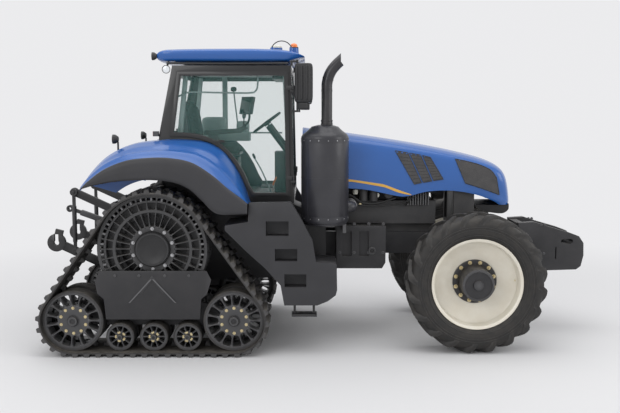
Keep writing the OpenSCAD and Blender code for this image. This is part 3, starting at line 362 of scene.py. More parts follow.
fabricGrey = finish("seat fabric", (0.035, 0.037, 0.035), (0.050, 0.052, 0.048), patches=8, rough=0.88,
                    spread=0.1, grain=1400, depth=0.6)
hoseRubber = finish("hose rubber", (0.012, 0.012, 0.012), (0.02, 0.02, 0.02), patches=20, rough=0.55,
                    grain=700)
orangePaint = finish("orange paint", (0.62, 0.14, 0.02), (0.5, 0.1, 0.015), patches=15, rough=0.45)


def glassFinish(name, colour, alpha):
    # Thin tinted glass: mostly clear, with a smooth gloss and a faint waviness.
    look = finish(name, colour, colour, patches=1.2, rough=0.04, spread=0.03, grain=3, depth=0.02, coat=0.0,
                  alpha=alpha)
    look.node_tree.nodes["Principled BSDF"].inputs["IOR"].default_value = 1.45
    look.surface_render_method = "BLENDED"
    return look


tintedGlass = glassFinish("tinted glass", (0.20, 0.44, 0.40), 0.075)
darkGlass = glassFinish("monitor glass", (0.01, 0.012, 0.012), 1.0)
print("finishes made")

# ---- Camera, floor and lights ----
cameraValues = {"place": (-0.097, -10.0, 2.649), "pitch": 6.47, "lens": 47.85}
cameraData = bpy.data.cameras.new("camera")
cameraData.lens = cameraValues["lens"]
cameraData.sensor_width = 36.0
camera = bpy.data.objects.new("camera", cameraData)
bpy.context.scene.collection.objects.link(camera)
camera.location = cameraValues["place"]
camera.rotation_euler = (math.radians(90 - cameraValues["pitch"]), 0, 0)
bpy.context.scene.camera = camera
bpy.context.scene.view_settings.view_transform = "Standard"


def addLamp(name, place, aim, size, power, colour=(1, 1, 1)):
    data = bpy.data.lights.new(name, "AREA")
    data.shape = "RECTANGLE"
    data.size, data.size_y = size
    data.energy = power
    data.color = colour
    lamp = bpy.data.objects.new(name, data)
    bpy.context.scene.collection.objects.link(lamp)
    lamp.location = place
    lamp.rotation_euler = (Vector(aim) - Vector(place)).to_track_quat("-Z", "Y").to_euler()
    return lamp


def studio():
    # One wide plain sheet whose far part takes the sky's own brightness, so no horizon shows.
    values = {"size": 80.0, "floor": (0.70, 0.70, 0.705), "sky": (0.835, 0.835, 0.85), "near": 3.5,
              "far": 9.0}
    span = values["size"] / 2
    data = bpy.data.meshes.new("floor")
    data.from_pydata([(-span, -span, 0), (span, -span, 0), (span, span, 0), (-span, span, 0)], [],
                     [(0, 1, 2, 3)])
    look = finish("floor", values["floor"], patches=0.4, rough=0.85, spread=0.05, grain=30, depth=0.02)
    nodes, links = look.node_tree.nodes, look.node_tree.links
    place, reach = nodes.new("ShaderNodeTexCoord"), nodes.new("ShaderNodeVectorMath")
    reach.operation = "LENGTH"
    links.new(place.outputs["Object"], reach.inputs[0])
    fade = nodes.new("ShaderNodeMapRange")
    fade.interpolation_type = "SMOOTHSTEP"
    fade.inputs["From Min"].default_value = values["near"]
    fade.inputs["From Max"].default_value = values["far"]
    links.new(reach.outputs["Value"], fade.inputs["Value"])
    glow, mixed = nodes.new("ShaderNodeEmission"), nodes.new("ShaderNodeMixShader")
    glow.inputs["Color"].default_value = (*values["sky"], 1)
    links.new(fade.outputs["Result"], mixed.inputs["Fac"])
    links.new(nodes["Principled BSDF"].outputs["BSDF"], mixed.inputs[1])
    links.new(glow.outputs["Emission"], mixed.inputs[2])
    links.new(mixed.outputs["Shader"], nodes["Material Output"].inputs["Surface"])
    data.materials.append(look)
    floor = bpy.data.objects.new("floor", data)
    bpy.context.scene.collection.objects.link(floor)
    world = bpy.data.worlds.new("sky")
    world.use_nodes = True
    world.node_tree.nodes["Background"].inputs["Color"].default_value = (*values["sky"], 1)
    bpy.context.scene.world = world
    addLamp("top softbox", (-0.5, -1.0, 8.5), (0, 0, 1.0), (9, 6), 260)
    addLamp("front softbox", (-5.5, -8.5, 5.5), (0, 0, 1.4), (5, 4), 170)
    addLamp("nose softbox", (8.5, -3.5, 4.0), (1.5, 0, 1.2), (4, 4), 120)


studio()
print("stage set")

# ---- Belts ----
idlerX = middle("idler_front_left").x - axleX
idlerZ = middle("idler_front_left").z
idlerR = (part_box("idler_front_left")[1].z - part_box("idler_front_left")[0].z) / 2
driveR = (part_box("drive_wheel_left")[1].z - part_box("drive_wheel_left")[0].z) / 2
beltT = 0.02
lugH = idlerZ - idlerR - beltT
beltLean = (math.atan2(axleZ - idlerZ, -idlerX)
            - math.acos((idlerR - driveR) / math.hypot(idlerX, axleZ - idlerZ)))
runOut = np.array([math.cos(beltLean), math.sin(beltLean)])
idlerC, driveC = np.array([idlerX, idlerZ]), np.array([0, axleZ])
runLength = np.linalg.norm(driveC - idlerC + runOut * (driveR - idlerR))
stretch = np.cumsum([idlerX, (beltLean + math.pi / 2) * (idlerR + beltT), runLength,
                     (math.pi / 2 - beltLean) * (driveR + beltT)])
beltLength = 2 * stretch[3]


def beltAt(s, h):
    # x and z at distance s round the belt, h out from the wheels: ground run, idler, straight run, drive
    # wheel, and the same backwards on the other side.
    s, h = np.broadcast_arrays(np.mod(s, beltLength), h)
    back = s > stretch[3]
    d = np.where(back, beltLength - s, s)
    a = (d - stretch[0]) / (idlerR + beltT) - np.pi / 2
    b = (d - stretch[2]) / (driveR + beltT) + beltLean
    k = (d - stretch[1]) / runLength
    runX = (1 - k) * (idlerC[0] + (idlerR + h) * runOut[0]) + k * (driveC[0] + (driveR + h) * runOut[0])
    runZ = (1 - k) * (idlerC[1] + (idlerR + h) * runOut[1]) + k * (driveC[1] + (driveR + h) * runOut[1])
    pick = [d < stretch[0], d < stretch[1], d < stretch[2]]
    x = np.select(pick, [d, idlerC[0] + (idlerR + h) * np.cos(a), runX], driveC[0] + (driveR + h) * np.cos(b))
    z = np.select(pick, [idlerZ - idlerR - h, idlerC[1] + (idlerR + h) * np.sin(a), runZ],
                  driveC[1] + (driveR + h) * np.sin(b))
    return np.where(back, -x, x), z


beltValues = {"halfWidth": 0.305, "lugs": 54, "lean": 0.03, "guideHalf": 0.028, "guideDepth": 0.048}


def beltBars(count, shift, along, out, across, leanBack):
    # Bars laid across the belt: each has a section (along, out) carried through the stations across.
    s = ((np.arange(count) + shift) * beltLength / count)[:, None, None]
    s = s + np.array(along)[None, None] * beltLength / count + np.array(leanBack)[None, :, None]
    x, z = beltAt(s, np.array(out)[None, None] + 0 * s)
    y = np.broadcast_to(np.array(across)[None, :, None], x.shape)
    return joined([surface(p, closedV=True, capped=True) for p in np.stack([x, trackY + y, z], -1)])


def beltShape():
    w, t = beltValues["halfWidth"], beltT
    s = np.linspace(0, beltLength, 260, endpoint=False)[:, None]
    h = np.array([0.001, 0.0, 0.0, 0.001, t - 0.004, t - 0.001, t - 0.001, t - 0.004])[None]
    y = np.array([-w, 0.004 - w, w - 0.004, w, w, w - 0.004, 0.004 - w, -w])[None]
    x, z = beltAt(s, h)
    band = surface(np.stack([x, trackY + y + 0 * x, z], -1), closedU=True, closedV=True)
    rise = np.linspace(0, 1, 6)
    reach = 0.03 + (w - 0.03) * rise
    section = [0.0, 0.07, 0.12, 0.38, 0.43, 0.52]
    height = [t - 0.004, t + lugH - 0.007, t + lugH, t + lugH, t + lugH - 0.007, t - 0.004]
    lean = beltValues["lean"] * (1 - rise)
    outer = beltBars(beltValues["lugs"], 0.0, section, height, reach, lean)
    inner = beltBars(beltValues["lugs"], 0.5, section, height, -reach[::-1], lean[::-1])
    g = beltValues["guideHalf"]
    guides = beltBars(beltValues["lugs"], 0.2, [0.02, 0.12, 0.38, 0.5],
                      [0.004, -beltValues["guideDepth"], -beltValues["guideDepth"], 0.004], [-g, g], [0, 0])
    # a shallow rib runs along the belt's outer edge
    edge = [surface(np.stack([*(lambda xz: (xz[0], trackY + yy + 0 * xz[0], xz[1]))(beltAt(s, hh))], -1),
                    closedU=True, closedV=True)
            for yy, hh in [(np.array([[w - 0.026, w - 0.022, w - 0.010, w - 0.006]]),
                            np.array([[t - 0.003, t + 0.004, t + 0.004, t - 0.003]]))]]
    return joined([band, outer, inner, guides] + edge)


beltForm = beltShape()
for side, sign in sides.items():
    addPiece(f"belt_{side}", [(sided(beltForm, sign), beltRubber)], f"track_{side}",
             stands=[f"track_belt_{side}"], angle=40)
print("belts made")


# ---- Track wheels ----
def ringOf(inner, outer, y0, y1, centre, chamfer=0.004, segments=72):
    c = min(chamfer, (outer - inner) / 3, (y1 - y0) / 3)
    profile = [(inner + c, y0), (outer - c, y0), (outer, y0 + c), (outer, y1 - c), (outer - c, y1),
               (inner + c, y1), (inner, y1 - c), (inner, y0 + c)]
    return turned(profile, (centre[0], 0, centre[1]), segments=segments)


def spokeOf(inner, outer, half, flare, y0, y1, centre):
    # A web from inner to outer radius whose half width grows by the flare at both ends, as cast spokes do.
    r = np.linspace(inner, outer, 14)
    reach = (outer - inner) * 0.22
    w = half + flare * (np.exp(-((r - inner) / reach) ** 1.4) + np.exp(-((outer - r) / reach) ** 1.4))
    rows = [np.stack([centre[0] + r, np.full(14, y), centre[1] + k * w], -1)
            for y, k in [(y0 + 0.003, -0.8), (y1 - 0.005, -0.8), (y1, -0.45), (y1, 0.45), (y1 - 0.005, 0.8),
                         (y0 + 0.003, 0.8)]]
    return surface(np.stack(rows, 1), closedV=True, capped=True)


driveValues = {"spokes": 30, "rimWidth": 0.215, "hubBolts": 10}


def driveWheelShape():
    c = (0.0, axleZ)
    y = trackY
    n = driveValues["spokes"]
    half = driveValues["rimWidth"]
    rims = [ringOf(driveR - 0.036, driveR, y + a, y + a + 0.016, c)
            for a in (0.045, half - 0.016, -0.061, -half)]
    drum = ringOf(driveR - 0.092, driveR - 0.066, y - half + 0.004, y + half - 0.02, c)
    bars = [spun(plate([(driveR - 0.07, axleZ - 0.010), (driveR - 0.006, axleZ - 0.007),
                        (driveR - 0.006, axleZ + 0.007), (driveR - 0.07, axleZ + 0.010)], y + a, y + b), n,
            c, 0.5)
            for a, b in ((0.05, half - 0.004), (0.004 - half, -0.05))]
    outerWeb = spun(spokeOf(0.425, driveR - 0.03, 0.0048, 0.013, y + 0.13, y + half - 0.012, c), n, c)
    midRing = ringOf(0.400, 0.434, y + 0.11, y + half - 0.008, c)
    innerWeb = spun(spokeOf(0.238, 0.412, 0.0042, 0.010, y + 0.10, y + half - 0.022, c), n, c)
    backWeb = ringOf(0.36, driveR - 0.08, y + 0.085, y + 0.10, c)
    hub = turned([(0.09, y + 0.09), (0.246, y + 0.09), (0.252, y + 0.10), (0.252, y + half - 0.03),
                  (0.246, y + half - 0.022), (0.196, y + half - 0.022), (0.190, y + half - 0.028),
                  (0.09, y + half - 0.028)], (0, 0, axleZ), segments=72)
    cap = turned([(0, y + 0.15), (0.183, y + 0.15), (0.183, y + half + 0.012), (0.177, y + half + 0.020),
                  (0.160, y + half + 0.020), (0.150, y + half + 0.012), (0.06, y + half + 0.006),
                 (0, y + half + 0.005)], (0, 0, axleZ), segments=64)
    shaft = turned([(0, y - 0.54), (0.078, y - 0.54), (0.078, y + 0.12), (0, y + 0.12)], (0, 0, axleZ))
    innerDisc = ringOf(0.12, driveR - 0.08, y - 0.02, y + 0.0, c)
    a = (np.arange(driveValues["hubBolts"]) + 0.5) * 2 * np.pi / driveValues["hubBolts"]
    nuts = bolts(np.stack([0.222 * np.cos(a), np.full(len(a), y + half - 0.022), axleZ + 0.222 * np.sin(a)],
                 -1), "y", 0.014, 0.016)
    body = joined(rims + [drum] + bars + [outerWeb, midRing, innerWeb, backWeb, hub, shaft, innerDisc])
    return body, cap, nuts


def idlerShape(x, outer, rubber, spokes, hub, boltCircle, boltCount, width, cap):
    # Two rubber-faced rings on spoked discs, a middle hub with its bolts, and the axle through them.
    c = (x, idlerZ if outer > 0.2 else rollerZ)
    y = trackY
    tyres, metal = [], []
    for k in (1, -1):
        lo, hi = (0.045, width) if k > 0 else (-width, -0.045)
        tyres.append(turned([(rubber - 0.002, y + lo), (outer - 0.004, y + lo), (outer, y + lo + 0.005),
                             (outer, y + hi - 0.005), (outer - 0.004, y + hi),
                            (rubber - 0.002, y + hi - 0.002)], (c[0], 0, c[1]), segments=72))
        metal.append(ringOf(rubber - 0.024, rubber, y + lo + 0.002, y + hi - 0.001, c))
    front = width - 0.014
    metal.append(spun(spokeOf(hub - 0.01, rubber - 0.02, spokes[1], spokes[2], y + 0.1, y + front, c),
                      spokes[0], c))
    metal.append(spun(spokeOf(hub - 0.01, rubber - 0.02, spokes[1], spokes[2], y - front, y - 0.1, c),
                      spokes[0], c))
    for k in (1, -1):
        pair = sorted([y + k * 0.06, y + k * (front - 0.004)])
        metal.append(ringOf(0.03, hub, pair[0], pair[1], c))
    disc = width - 0.02
    metal.append(turned([(0, y + 0.1), (cap * 1.3, y + 0.1), (cap * 1.3, y + disc),
                         (cap * 1.22, y + disc + 0.006), (cap, y + disc + 0.008), (cap, y + disc + 0.034),
                         (cap * 0.9, y + disc + 0.042), (cap * 0.55, y + disc + 0.042),
                        (cap * 0.5, y + disc + 0.036), (0, y + disc + 0.036)], (c[0], 0, c[1]), segments=40))
    metal.append(turned([(0, y - width + 0.03), (0.035, y - width + 0.03), (0.035, y + 0.12), (0, y + 0.12)],
                        (c[0], 0, c[1]), segments=24))
    a = (np.arange(boltCount) + 0.5) * 2 * np.pi / boltCount
    spots = np.stack([c[0] + boltCircle * np.cos(a), np.full(boltCount, y + disc + 0.001),
                      c[1] + boltCircle * np.sin(a)], -1)
    return joined(metal), joined(tyres), bolts(spots, "y", 0.013, 0.012)


rollerZ = middle("roller_mid_left").z
rollerR = (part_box("roller_mid_left")[1].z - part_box("roller_mid_left")[0].z) / 2
rollerPitch = middle("roller_front_left").x - middle("roller_mid_left").x
wheelBody, wheelCap, wheelNuts = driveWheelShape()
for side, sign in sides.items():
    addPiece(f"drive_sprocket_{side}", [(sided(wheelBody, sign), trackPaint),
             (sided(wheelCap, sign), blackPlastic), (sided(wheelNuts, sign), brightSteel)], f"drive_{side}",
             stands=[f"drive_wheel_{side}"])
    for place, x in (("rear", -idlerX), ("front", idlerX)):
        metal, tyres, nuts = idlerShape(x, idlerR, 0.313, (15, 0.0075, 0.016), 0.172, 0.140, 10, 0.235, 0.052)
        addPiece(f"idler_{place}_wheel_{side}", [(sided(metal, sign), idlerPaint),
                 (sided(tyres, sign), beltRubber), (sided(nuts, sign), brassPlate)],
                 f"idler_{place}_{side}", stands=[f"idler_{place}_{side}"])
    for place, x in (("rear", -rollerPitch), ("mid", 0), ("front", rollerPitch)):
        metal, tyres, nuts = idlerShape(x, rollerR, 0.143, (10, 0.006, 0.010), 0.060, 0.047, 5, 0.230, 0.030)
        addPiece(f"roller_{place}_wheel_{side}", [(sided(metal, sign), idlerPaint),
                 (sided(tyres, sign), beltRubber), (sided(nuts, sign), brassPlate)],
                 f"roller_{place}_{side}", stands=[f"roller_{place}_{side}"])
print("track wheels made")

# ---- Front wheels ----
tyreValues = {"radius": 0.778, "tread": 0.742, "halfWidth": 0.195, "rim": 0.483, "lugs": 20}
tyreR = tyreValues["radius"]


def tyreShape():
    w, rim, tread = tyreValues["halfWidth"], tyreValues["rim"], tyreValues["tread"]
    half = [(rim + 0.002, 0.132), (rim + 0.022, 0.148), (rim + 0.038, 0.166), (0.560, 0.186), (0.590, 0.192),
            (0.630, w - 0.002), (0.655, w), (0.680, w - 0.006), (0.705, w - 0.018), (0.725, w - 0.036),
            (0.736, w - 0.06), (tread, 0.08), (tread + 0.005, 0.0)]
    outside = half + [(r, -y) for r, y in half[-2::-1]]
    inside = [(rim + 0.03, -0.11), (0.60, -0.158), (0.70, -0.13), (0.712, 0.0), (0.70, 0.13), (0.60, 0.158),
              (rim + 0.03, 0.11)]
    carcass = turned([(r, trackY + y) for r, y in outside + inside], (frontX, 0, frontZ), segments=120)
    # two ribs and a shallow step run round each sidewall
    ribs = [turned([(r - 0.004, trackY + k * (y - 0.004)), (r - 0.002, trackY + k * (y + 0.003)),
                    (r + 0.002, trackY + k * (y + 0.003)), (r + 0.004, trackY + k * (y - 0.004))],
                   (frontX, 0, frontZ), segments=120)
            for k in (1, -1) for r, y in ((0.548, 0.183), (0.612, 0.193), (0.640, 0.1955))]
    return joined([carcass] + ribs)


def lugsShape():
    # Each lug runs from the middle over the shoulder: at travel t its centre moves back round the tyre
    # and out along the tread, its top follows the tread's height, and past the shoulder it sinks down the
    # sidewall.
    n, tread = tyreValues["lugs"], tyreValues["tread"]
    t = np.linspace(0, 1, 12)
    y = np.interp(t, [0, 0.72, 0.88, 1.0], [-0.016, 0.168, 0.1925, 0.1935])
    base = np.interp(t, [0, 0.6, 0.72, 0.88, 1.0], [tread, tread - 0.004, tread - 0.022, 0.700, 0.655])
    top = np.interp(t, [0, 0.05, 0.6, 0.72, 0.88, 1.0],
                    [tyreR - 0.004, tyreR, tyreR - 0.003, tyreR - 0.008, 0.735, 0.668])
    lean = 0.30 * t**1.25
    halfAngle = np.interp(t, [0, 0.7, 1.0], [0.020, 0.034, 0.030])
    across = np.array([-1.25, -0.95, -0.75, 0.75, 0.95, 1.25])
    lift = np.array([0.0, 0.86, 1.0, 1.0, 0.86, 0.0])
    r = (base - 0.01)[:, None] + (top - base + 0.01)[:, None] * lift[None]
    # on the sidewall the lug stands out sideways instead
    out = y[:, None] + np.interp(t, [0, 0.8, 1.0], [0, 0.0, 0.0015])[:, None] * lift[None]
    parts = []
    for hand in (1, -1):
        start = 0.0 if hand > 0 else 0.5
        a = (np.arange(n) + start)[:, None, None] * 2 * np.pi / n + lean[None, :, None] \
            + (halfAngle[:, None] * across[None])[None]
        x = frontX + r[None] * np.cos(a)
        z = frontZ + r[None] * np.sin(a)
        yy = trackY + hand * np.broadcast_to(out[None], x.shape)
        parts += [surface(p, closedV=True, capped=True) for p in np.stack([x, yy, z], -1)]
    return joined(parts)


rimValues = {"flange": 0.505, "studs": 12, "studCircle": 0.218}


def rimShape():
    y, rim, fl = trackY, tyreValues["rim"], rimValues["flange"]
    outside = [(rim, y + 0.128), (rim + 0.006, y + 0.144), (fl - 0.004, y + 0.148), (fl, y + 0.154),
               (fl, y + 0.162), (fl - 0.006, y + 0.165), (rim + 0.004, y + 0.160), (rim - 0.010, y + 0.150),
               (rim - 0.016, y + 0.120), (rim - 0.018, y + 0.06), (rim - 0.022, y + 0.03),
               (rim - 0.036, y + 0.018), (rim - 0.060, y + 0.012), (0.40, y + 0.000), (0.345, y - 0.012),
               (0.29, y - 0.026), (0.252, y - 0.036), (0.205, y - 0.038), (0.205, y - 0.056),
               (0.26, y - 0.054), (0.30, y - 0.044), (0.40, y - 0.018), (rim - 0.05, y - 0.006),
               (rim - 0.020, y - 0.010), (rim - 0.016, y - 0.12), (rim - 0.006, y - 0.152),
               (fl - 0.006, y - 0.165), (fl, y - 0.160), (fl - 0.002, y - 0.150), (rim + 0.006, y - 0.144),
               (rim, y - 0.128)]
    dish = turned(outside, (frontX, 0, frontZ), segments=120)
    a = (np.arange(24) + 0.5) * 2 * np.pi / 24
    rivets = bolts(np.stack([frontX + 0.432 * np.cos(a), np.full(24, y + 0.006),
                   frontZ + 0.432 * np.sin(a)], -1), "y", 0.007, 0.004)
    valve = tube([(frontX + 0.44, y + 0.01, frontZ + 0.02), (frontX + 0.435, y + 0.05, frontZ + 0.02)],
                 0.006, 8)
    hub = turned([(0.075, y - 0.118), (0.2, y - 0.118), (0.2, y - 0.04), (0.246, y - 0.0385),
                  (0.246, y - 0.016), (0.240, y - 0.012), (0.198, y - 0.012), (0.186, y + 0.004),
                  (0.180, y + 0.03), (0.180, y + 0.198), (0.174, y + 0.212), (0.150, y + 0.222),
                  (0.146, y + 0.214), (0.06, y + 0.210), (0.055, y + 0.226), (0.0, y + 0.226),
                  (0.0, y + 0.16), (0.075, y + 0.158)], (frontX, 0, frontZ), segments=72)
    a = (np.arange(rimValues["studs"]) + 0.5) * 2 * np.pi / rimValues["studs"]
    circle = rimValues["studCircle"]
    at = np.stack([frontX + circle * np.cos(a), np.full(12, y - 0.012), frontZ + circle * np.sin(a)], -1)
    studs = joined([bolts(at, "y", 0.017, 0.018),
                    copies(turned([(0, 0), (0.009, 0), (0.009, 0.034), (0.006, 0.038), (0, 0.038)],
                                  segments=10), at)])
    a = (np.arange(8)) * 2 * np.pi / 8
    capBolts = bolts(np.stack([frontX + 0.163 * np.cos(a), np.full(8, y + 0.217),
                     frontZ + 0.163 * np.sin(a)], -1), "y", 0.008, 0.005)
    return dish, joined([rivets, valve]), hub, studs, capBolts


tyreForm = joined([tyreShape(), lugsShape()])
dish, rivets, hub, studs, capBolts = rimShape()
for side, sign in sides.items():
    addPiece(f"front_tyre_{side}", [(sided(tyreForm, sign), tyreRubber)], f"wheel_{side}",
             stands=[f"tyre_{side}"], angle=32)
    addPiece(f"front_rim_{side}", [(sided(dish, sign), creamPaint), (sided(rivets, sign), brassPlate),
             (sided(hub, sign), castGrey), (sided(studs, sign), brassPlate),
             (sided(capBolts, sign), castGrey)], f"wheel_{side}", stands=[f"rim_{side}"])
print("front wheels made")

# ---- Hood ----
hoodValues = {"halfWidth": 0.438, "rows": 90, "columns": 27}


def hoodGrid(inset=0.0):
    # Each row starts on the spine and ends on the lower edge: across, the surface stays flat over the
    # top, turns at the crease and falls almost straight down the side. Towards the nose the rows lean
    # back, which rounds it.
    spine = smoothPath([(1.625, 2.478), (2.13, 2.418), (2.70, 2.335), (3.19, 2.250), (3.60, 2.160),
                        (3.84, 2.085), (3.975, 2.005), (4.045, 1.90), (4.08, 1.76), (4.092, 1.63),
                        (4.088, 1.575)], hoodValues["rows"])
    edge = smoothPath([(1.625, 1.795), (2.02, 1.782), (2.36, 1.762), (2.72, 1.690), (2.86, 1.688),
                       (3.05, 1.735), (3.25, 1.752), (3.45, 1.742), (3.66, 1.700), (3.85, 1.63),
                       (3.93, 1.58)], hoodValues["rows"])
    along = np.linspace(0, 1, hoodValues["rows"])
    wide = hoodValues["halfWidth"] - 0.055 * np.clip((along - 0.70) / 0.3, 0, 1) ** 1.6
    k = np.linspace(0, 1, hoodValues["columns"])
    out = np.interp(k, [0, 0.14, 0.3, 0.42, 0.48, 0.54, 0.62, 0.75, 1.0],
                    [0, 0.30, 0.66, 0.86, 0.925, 0.955, 0.975, 0.995, 1.0])
    drop = np.interp(k, [0, 0.14, 0.3, 0.42, 0.48, 0.54, 0.62, 0.75, 1.0],
                     [0, 0.006, 0.034, 0.085, 0.125, 0.20, 0.36, 0.62, 1.0])
    # near the nose the surface turns gradually instead of at the crease
    nose = np.clip((along - 0.62) / 0.38, 0, 1)[:, None] ** 1.5
    roundOut, roundDrop = np.sin(k * np.pi / 2) ** 0.72, 1 - np.cos(k * np.pi / 2) ** 0.9
    out = (1 - nose) * out[None] + nose * roundOut[None]
    drop = (1 - nose) * drop[None] + nose * roundDrop[None]
    lean = (1 - nose) * drop + nose * (1 - np.cos(k * np.pi / 2)[None] ** 0.8)
    x = spine[:, :1] + (edge[:, :1] - spine[:, :1]) * lean
    z = spine[:, 1:] + (edge[:, 1:] - spine[:, 1:]) * drop
    y = (wide[:, None] - inset) * out
    return np.stack([x, y, z - inset * (1 - drop)], -1)


hoodHalf = hoodGrid()


def shell(grid, thick):
    # A sheet with its mirror image and a second skin a little inside it, closed round the edge.
    whole = np.concatenate([grid[:, ::-1] * np.array([1, -1, 1]), grid[:, 1:]], 1)
    du, dv = np.gradient(whole, axis=0), np.gradient(whole, axis=1)
    out = np.cross(du, dv)
    out /= np.linalg.norm(out, axis=2, keepdims=True) + 1e-9
    facing = np.sign(((whole - whole.mean((0, 1))) * out).sum(-1).mean())
    inner = whole - out * thick * facing
    return rimmed(whole, inner)


def onHoodSide(points, lift):
    # Points in x and z laid on the hood's side: y is the mean of the nearest surface points, weighted by
    # closeness.
    points = np.asarray(points, float)
    fine = hoodHalf.reshape(-1, 3)
    gap = ((points[..., None, :] - fine[:, [0, 2]]) ** 2).sum(-1)
    gap = np.where(fine[:, 1] < 0.25, gap + 1.0, gap)
    weight = 1 / (gap + 1e-5) ** 2
    y = (weight * fine[:, 1]).sum(-1) / weight.sum(-1)
    return np.stack([points[..., 0], y + lift, points[..., 1]], -1)


def patch(corners, lift, thick, rows=24, columns=12):
    # A four-cornered panel on the hood's side, with a wall of the given thickness behind its face.
    a, b, c, d = np.asarray(corners, float)
    u, v = np.linspace(0, 1, rows)[:, None, None], np.linspace(0, 1, columns)[None, :, None]
    flat = (1 - u) * ((1 - v) * a + v * b) + u * ((1 - v) * d + v * c)
    front = onHoodSide(flat, lift)
    return slabOf(front, thick)


def slabOf(front, thick):
    # A sheet with a second skin behind it, nearer the middle of the machine, closed round the edge.
    return rimmed(front, front - np.array([0, thick, 0]))


def stripeShape():
    # A gold band that follows the hood's lower edge and widens towards the front before its tail.
    s = np.linspace(0, 1, 40)
    x = 1.64 + 1.24 * s
    top = np.interp(s, [0, 0.45, 0.75, 0.92, 1.0], [1.905, 1.880, 1.825, 1.745, 1.712])
    width = np.interp(s, [0, 0.6, 0.86, 0.95, 1.0], [0.020, 0.028, 0.040, 0.026, 0.014])
    flat = np.stack([np.stack([x, top], -1), np.stack([x + 0.02 * s, top - width], -1)], 1)
    return slabOf(onHoodSide(flat, 0.0022), 0.0035)


# corners of each louvre: top rear, top front, bottom front, bottom rear
louvres = [[(2.700, 2.215), (2.846, 2.192), (3.010, 1.842), (2.925, 1.826)],
           [(2.866, 2.188), (2.995, 2.166), (3.130, 1.862), (3.030, 1.846)],
           [(3.018, 2.160), (3.110, 2.138), (3.262, 1.884), (3.150, 1.866)]]


def louvreShape(corners):
    a, b, c, d = np.asarray(corners, float)
    panel = patch(corners, 0.003, 0.02, 20, 8)
    slats = []
    for k in np.linspace(0.05, 0.95, 9):
        left, right = a + (d - a) * k, b + (c - b) * k
        left2, right2 = a + (d - a) * (k + 0.03), b + (c - b) * (k + 0.03)
        line = onHoodSide(np.linspace(left, right, 8), 0.0055)
        low = onHoodSide(np.linspace(left2, right2, 8), 0.0035)
        slats.append(slabOf(np.stack([line, low], 0), 0.008))
    frameLines = [np.linspace(a, d, 20), np.linspace(b, c, 20), np.linspace(a, b, 8), np.linspace(d, c, 8)]
    rails = [tube(onHoodSide(line, 0.004), 0.004, 8) for line in frameLines]
    return panel, joined(slats + rails)


def headlampShape():
    # A dark lens from behind the crease round to the nose, with a rim round its edge.
    top = smoothPath([(3.402, 2.118), (3.55, 2.088), (3.70, 2.045), (3.82, 1.985), (3.885, 1.90)], 24)
    low = smoothPath([(3.520, 1.838), (3.62, 1.808), (3.74, 1.768), (3.85, 1.728), (3.925, 1.700)], 24)
    v = np.linspace(0, 1, 12)[None, :, None]
    flat = top[:, None] * (1 - v) + low[:, None] * v
    lens = slabOf(onHoodSide(flat, 0.006), 0.03)
    rim = [tube(onHoodSide(line, 0.005), 0.005, 8) for line in (top, low, np.linspace(top[0], low[0], 12),
                                                               np.linspace(top[-1], low[-1], 12))]
    return lens, joined(rim)


hoodShell = shell(hoodHalf, 0.008)
stripe = stripeShape()
addPiece("hood_cover", [(hoodShell, bluePaint), (both(stripe), goldStripe)], "hood",
         stands=["hood_shell"], angle=28)
ventPanels, ventBars = zip(*[louvreShape(c) for c in louvres])
chinValues = {"halfWidth": 0.34, "path": [(3.64, 1.555), (3.72, 1.492), (3.88, 1.462), (4.01, 1.455),
                                          (4.085, 1.50), (4.088, 1.572)]}


def chinShape():
    # A dark bumper that closes the nose below: its line is carried across, pulled back towards the sides.
    line = smoothPath(chinValues["path"], 30)
    y = np.linspace(-1, 1, 31)[None, :]
    back = 1 - 0.13 * np.abs(y) ** 2.6 * (line[:, :1] - 3.60) / 0.49 * 0.55
    x = 3.60 + (line[:, :1] - 3.60) * back + 0 * y
    z = line[:, 1:] + 0.02 * np.abs(y) ** 3
    sheet = np.stack([x, chinValues["halfWidth"] * y + 0 * x, z + 0 * x], -1)
    flatTop = sheet.copy()
    flatTop[:, :, 2] = np.maximum(sheet[:, :, 2], 1.572)
    return rimmed(sheet, flatTop)


addPiece("hood_grilles", [(both(joined(list(ventPanels))), darkLens),
         (both(joined(list(ventBars))), blackPlastic), (chinShape(), blackPlastic)], "hood",
         stands=["hood_vents"])
lens, lampRim = headlampShape()
addPiece("headlamp_lenses", [(both(lens), darkLens), (both(lampRim), blackPlastic)], "hood",
         stands=["headlamps"])
print("hood made")

# ---- Roof ----
roofValues = {"halfWidth": 0.825}


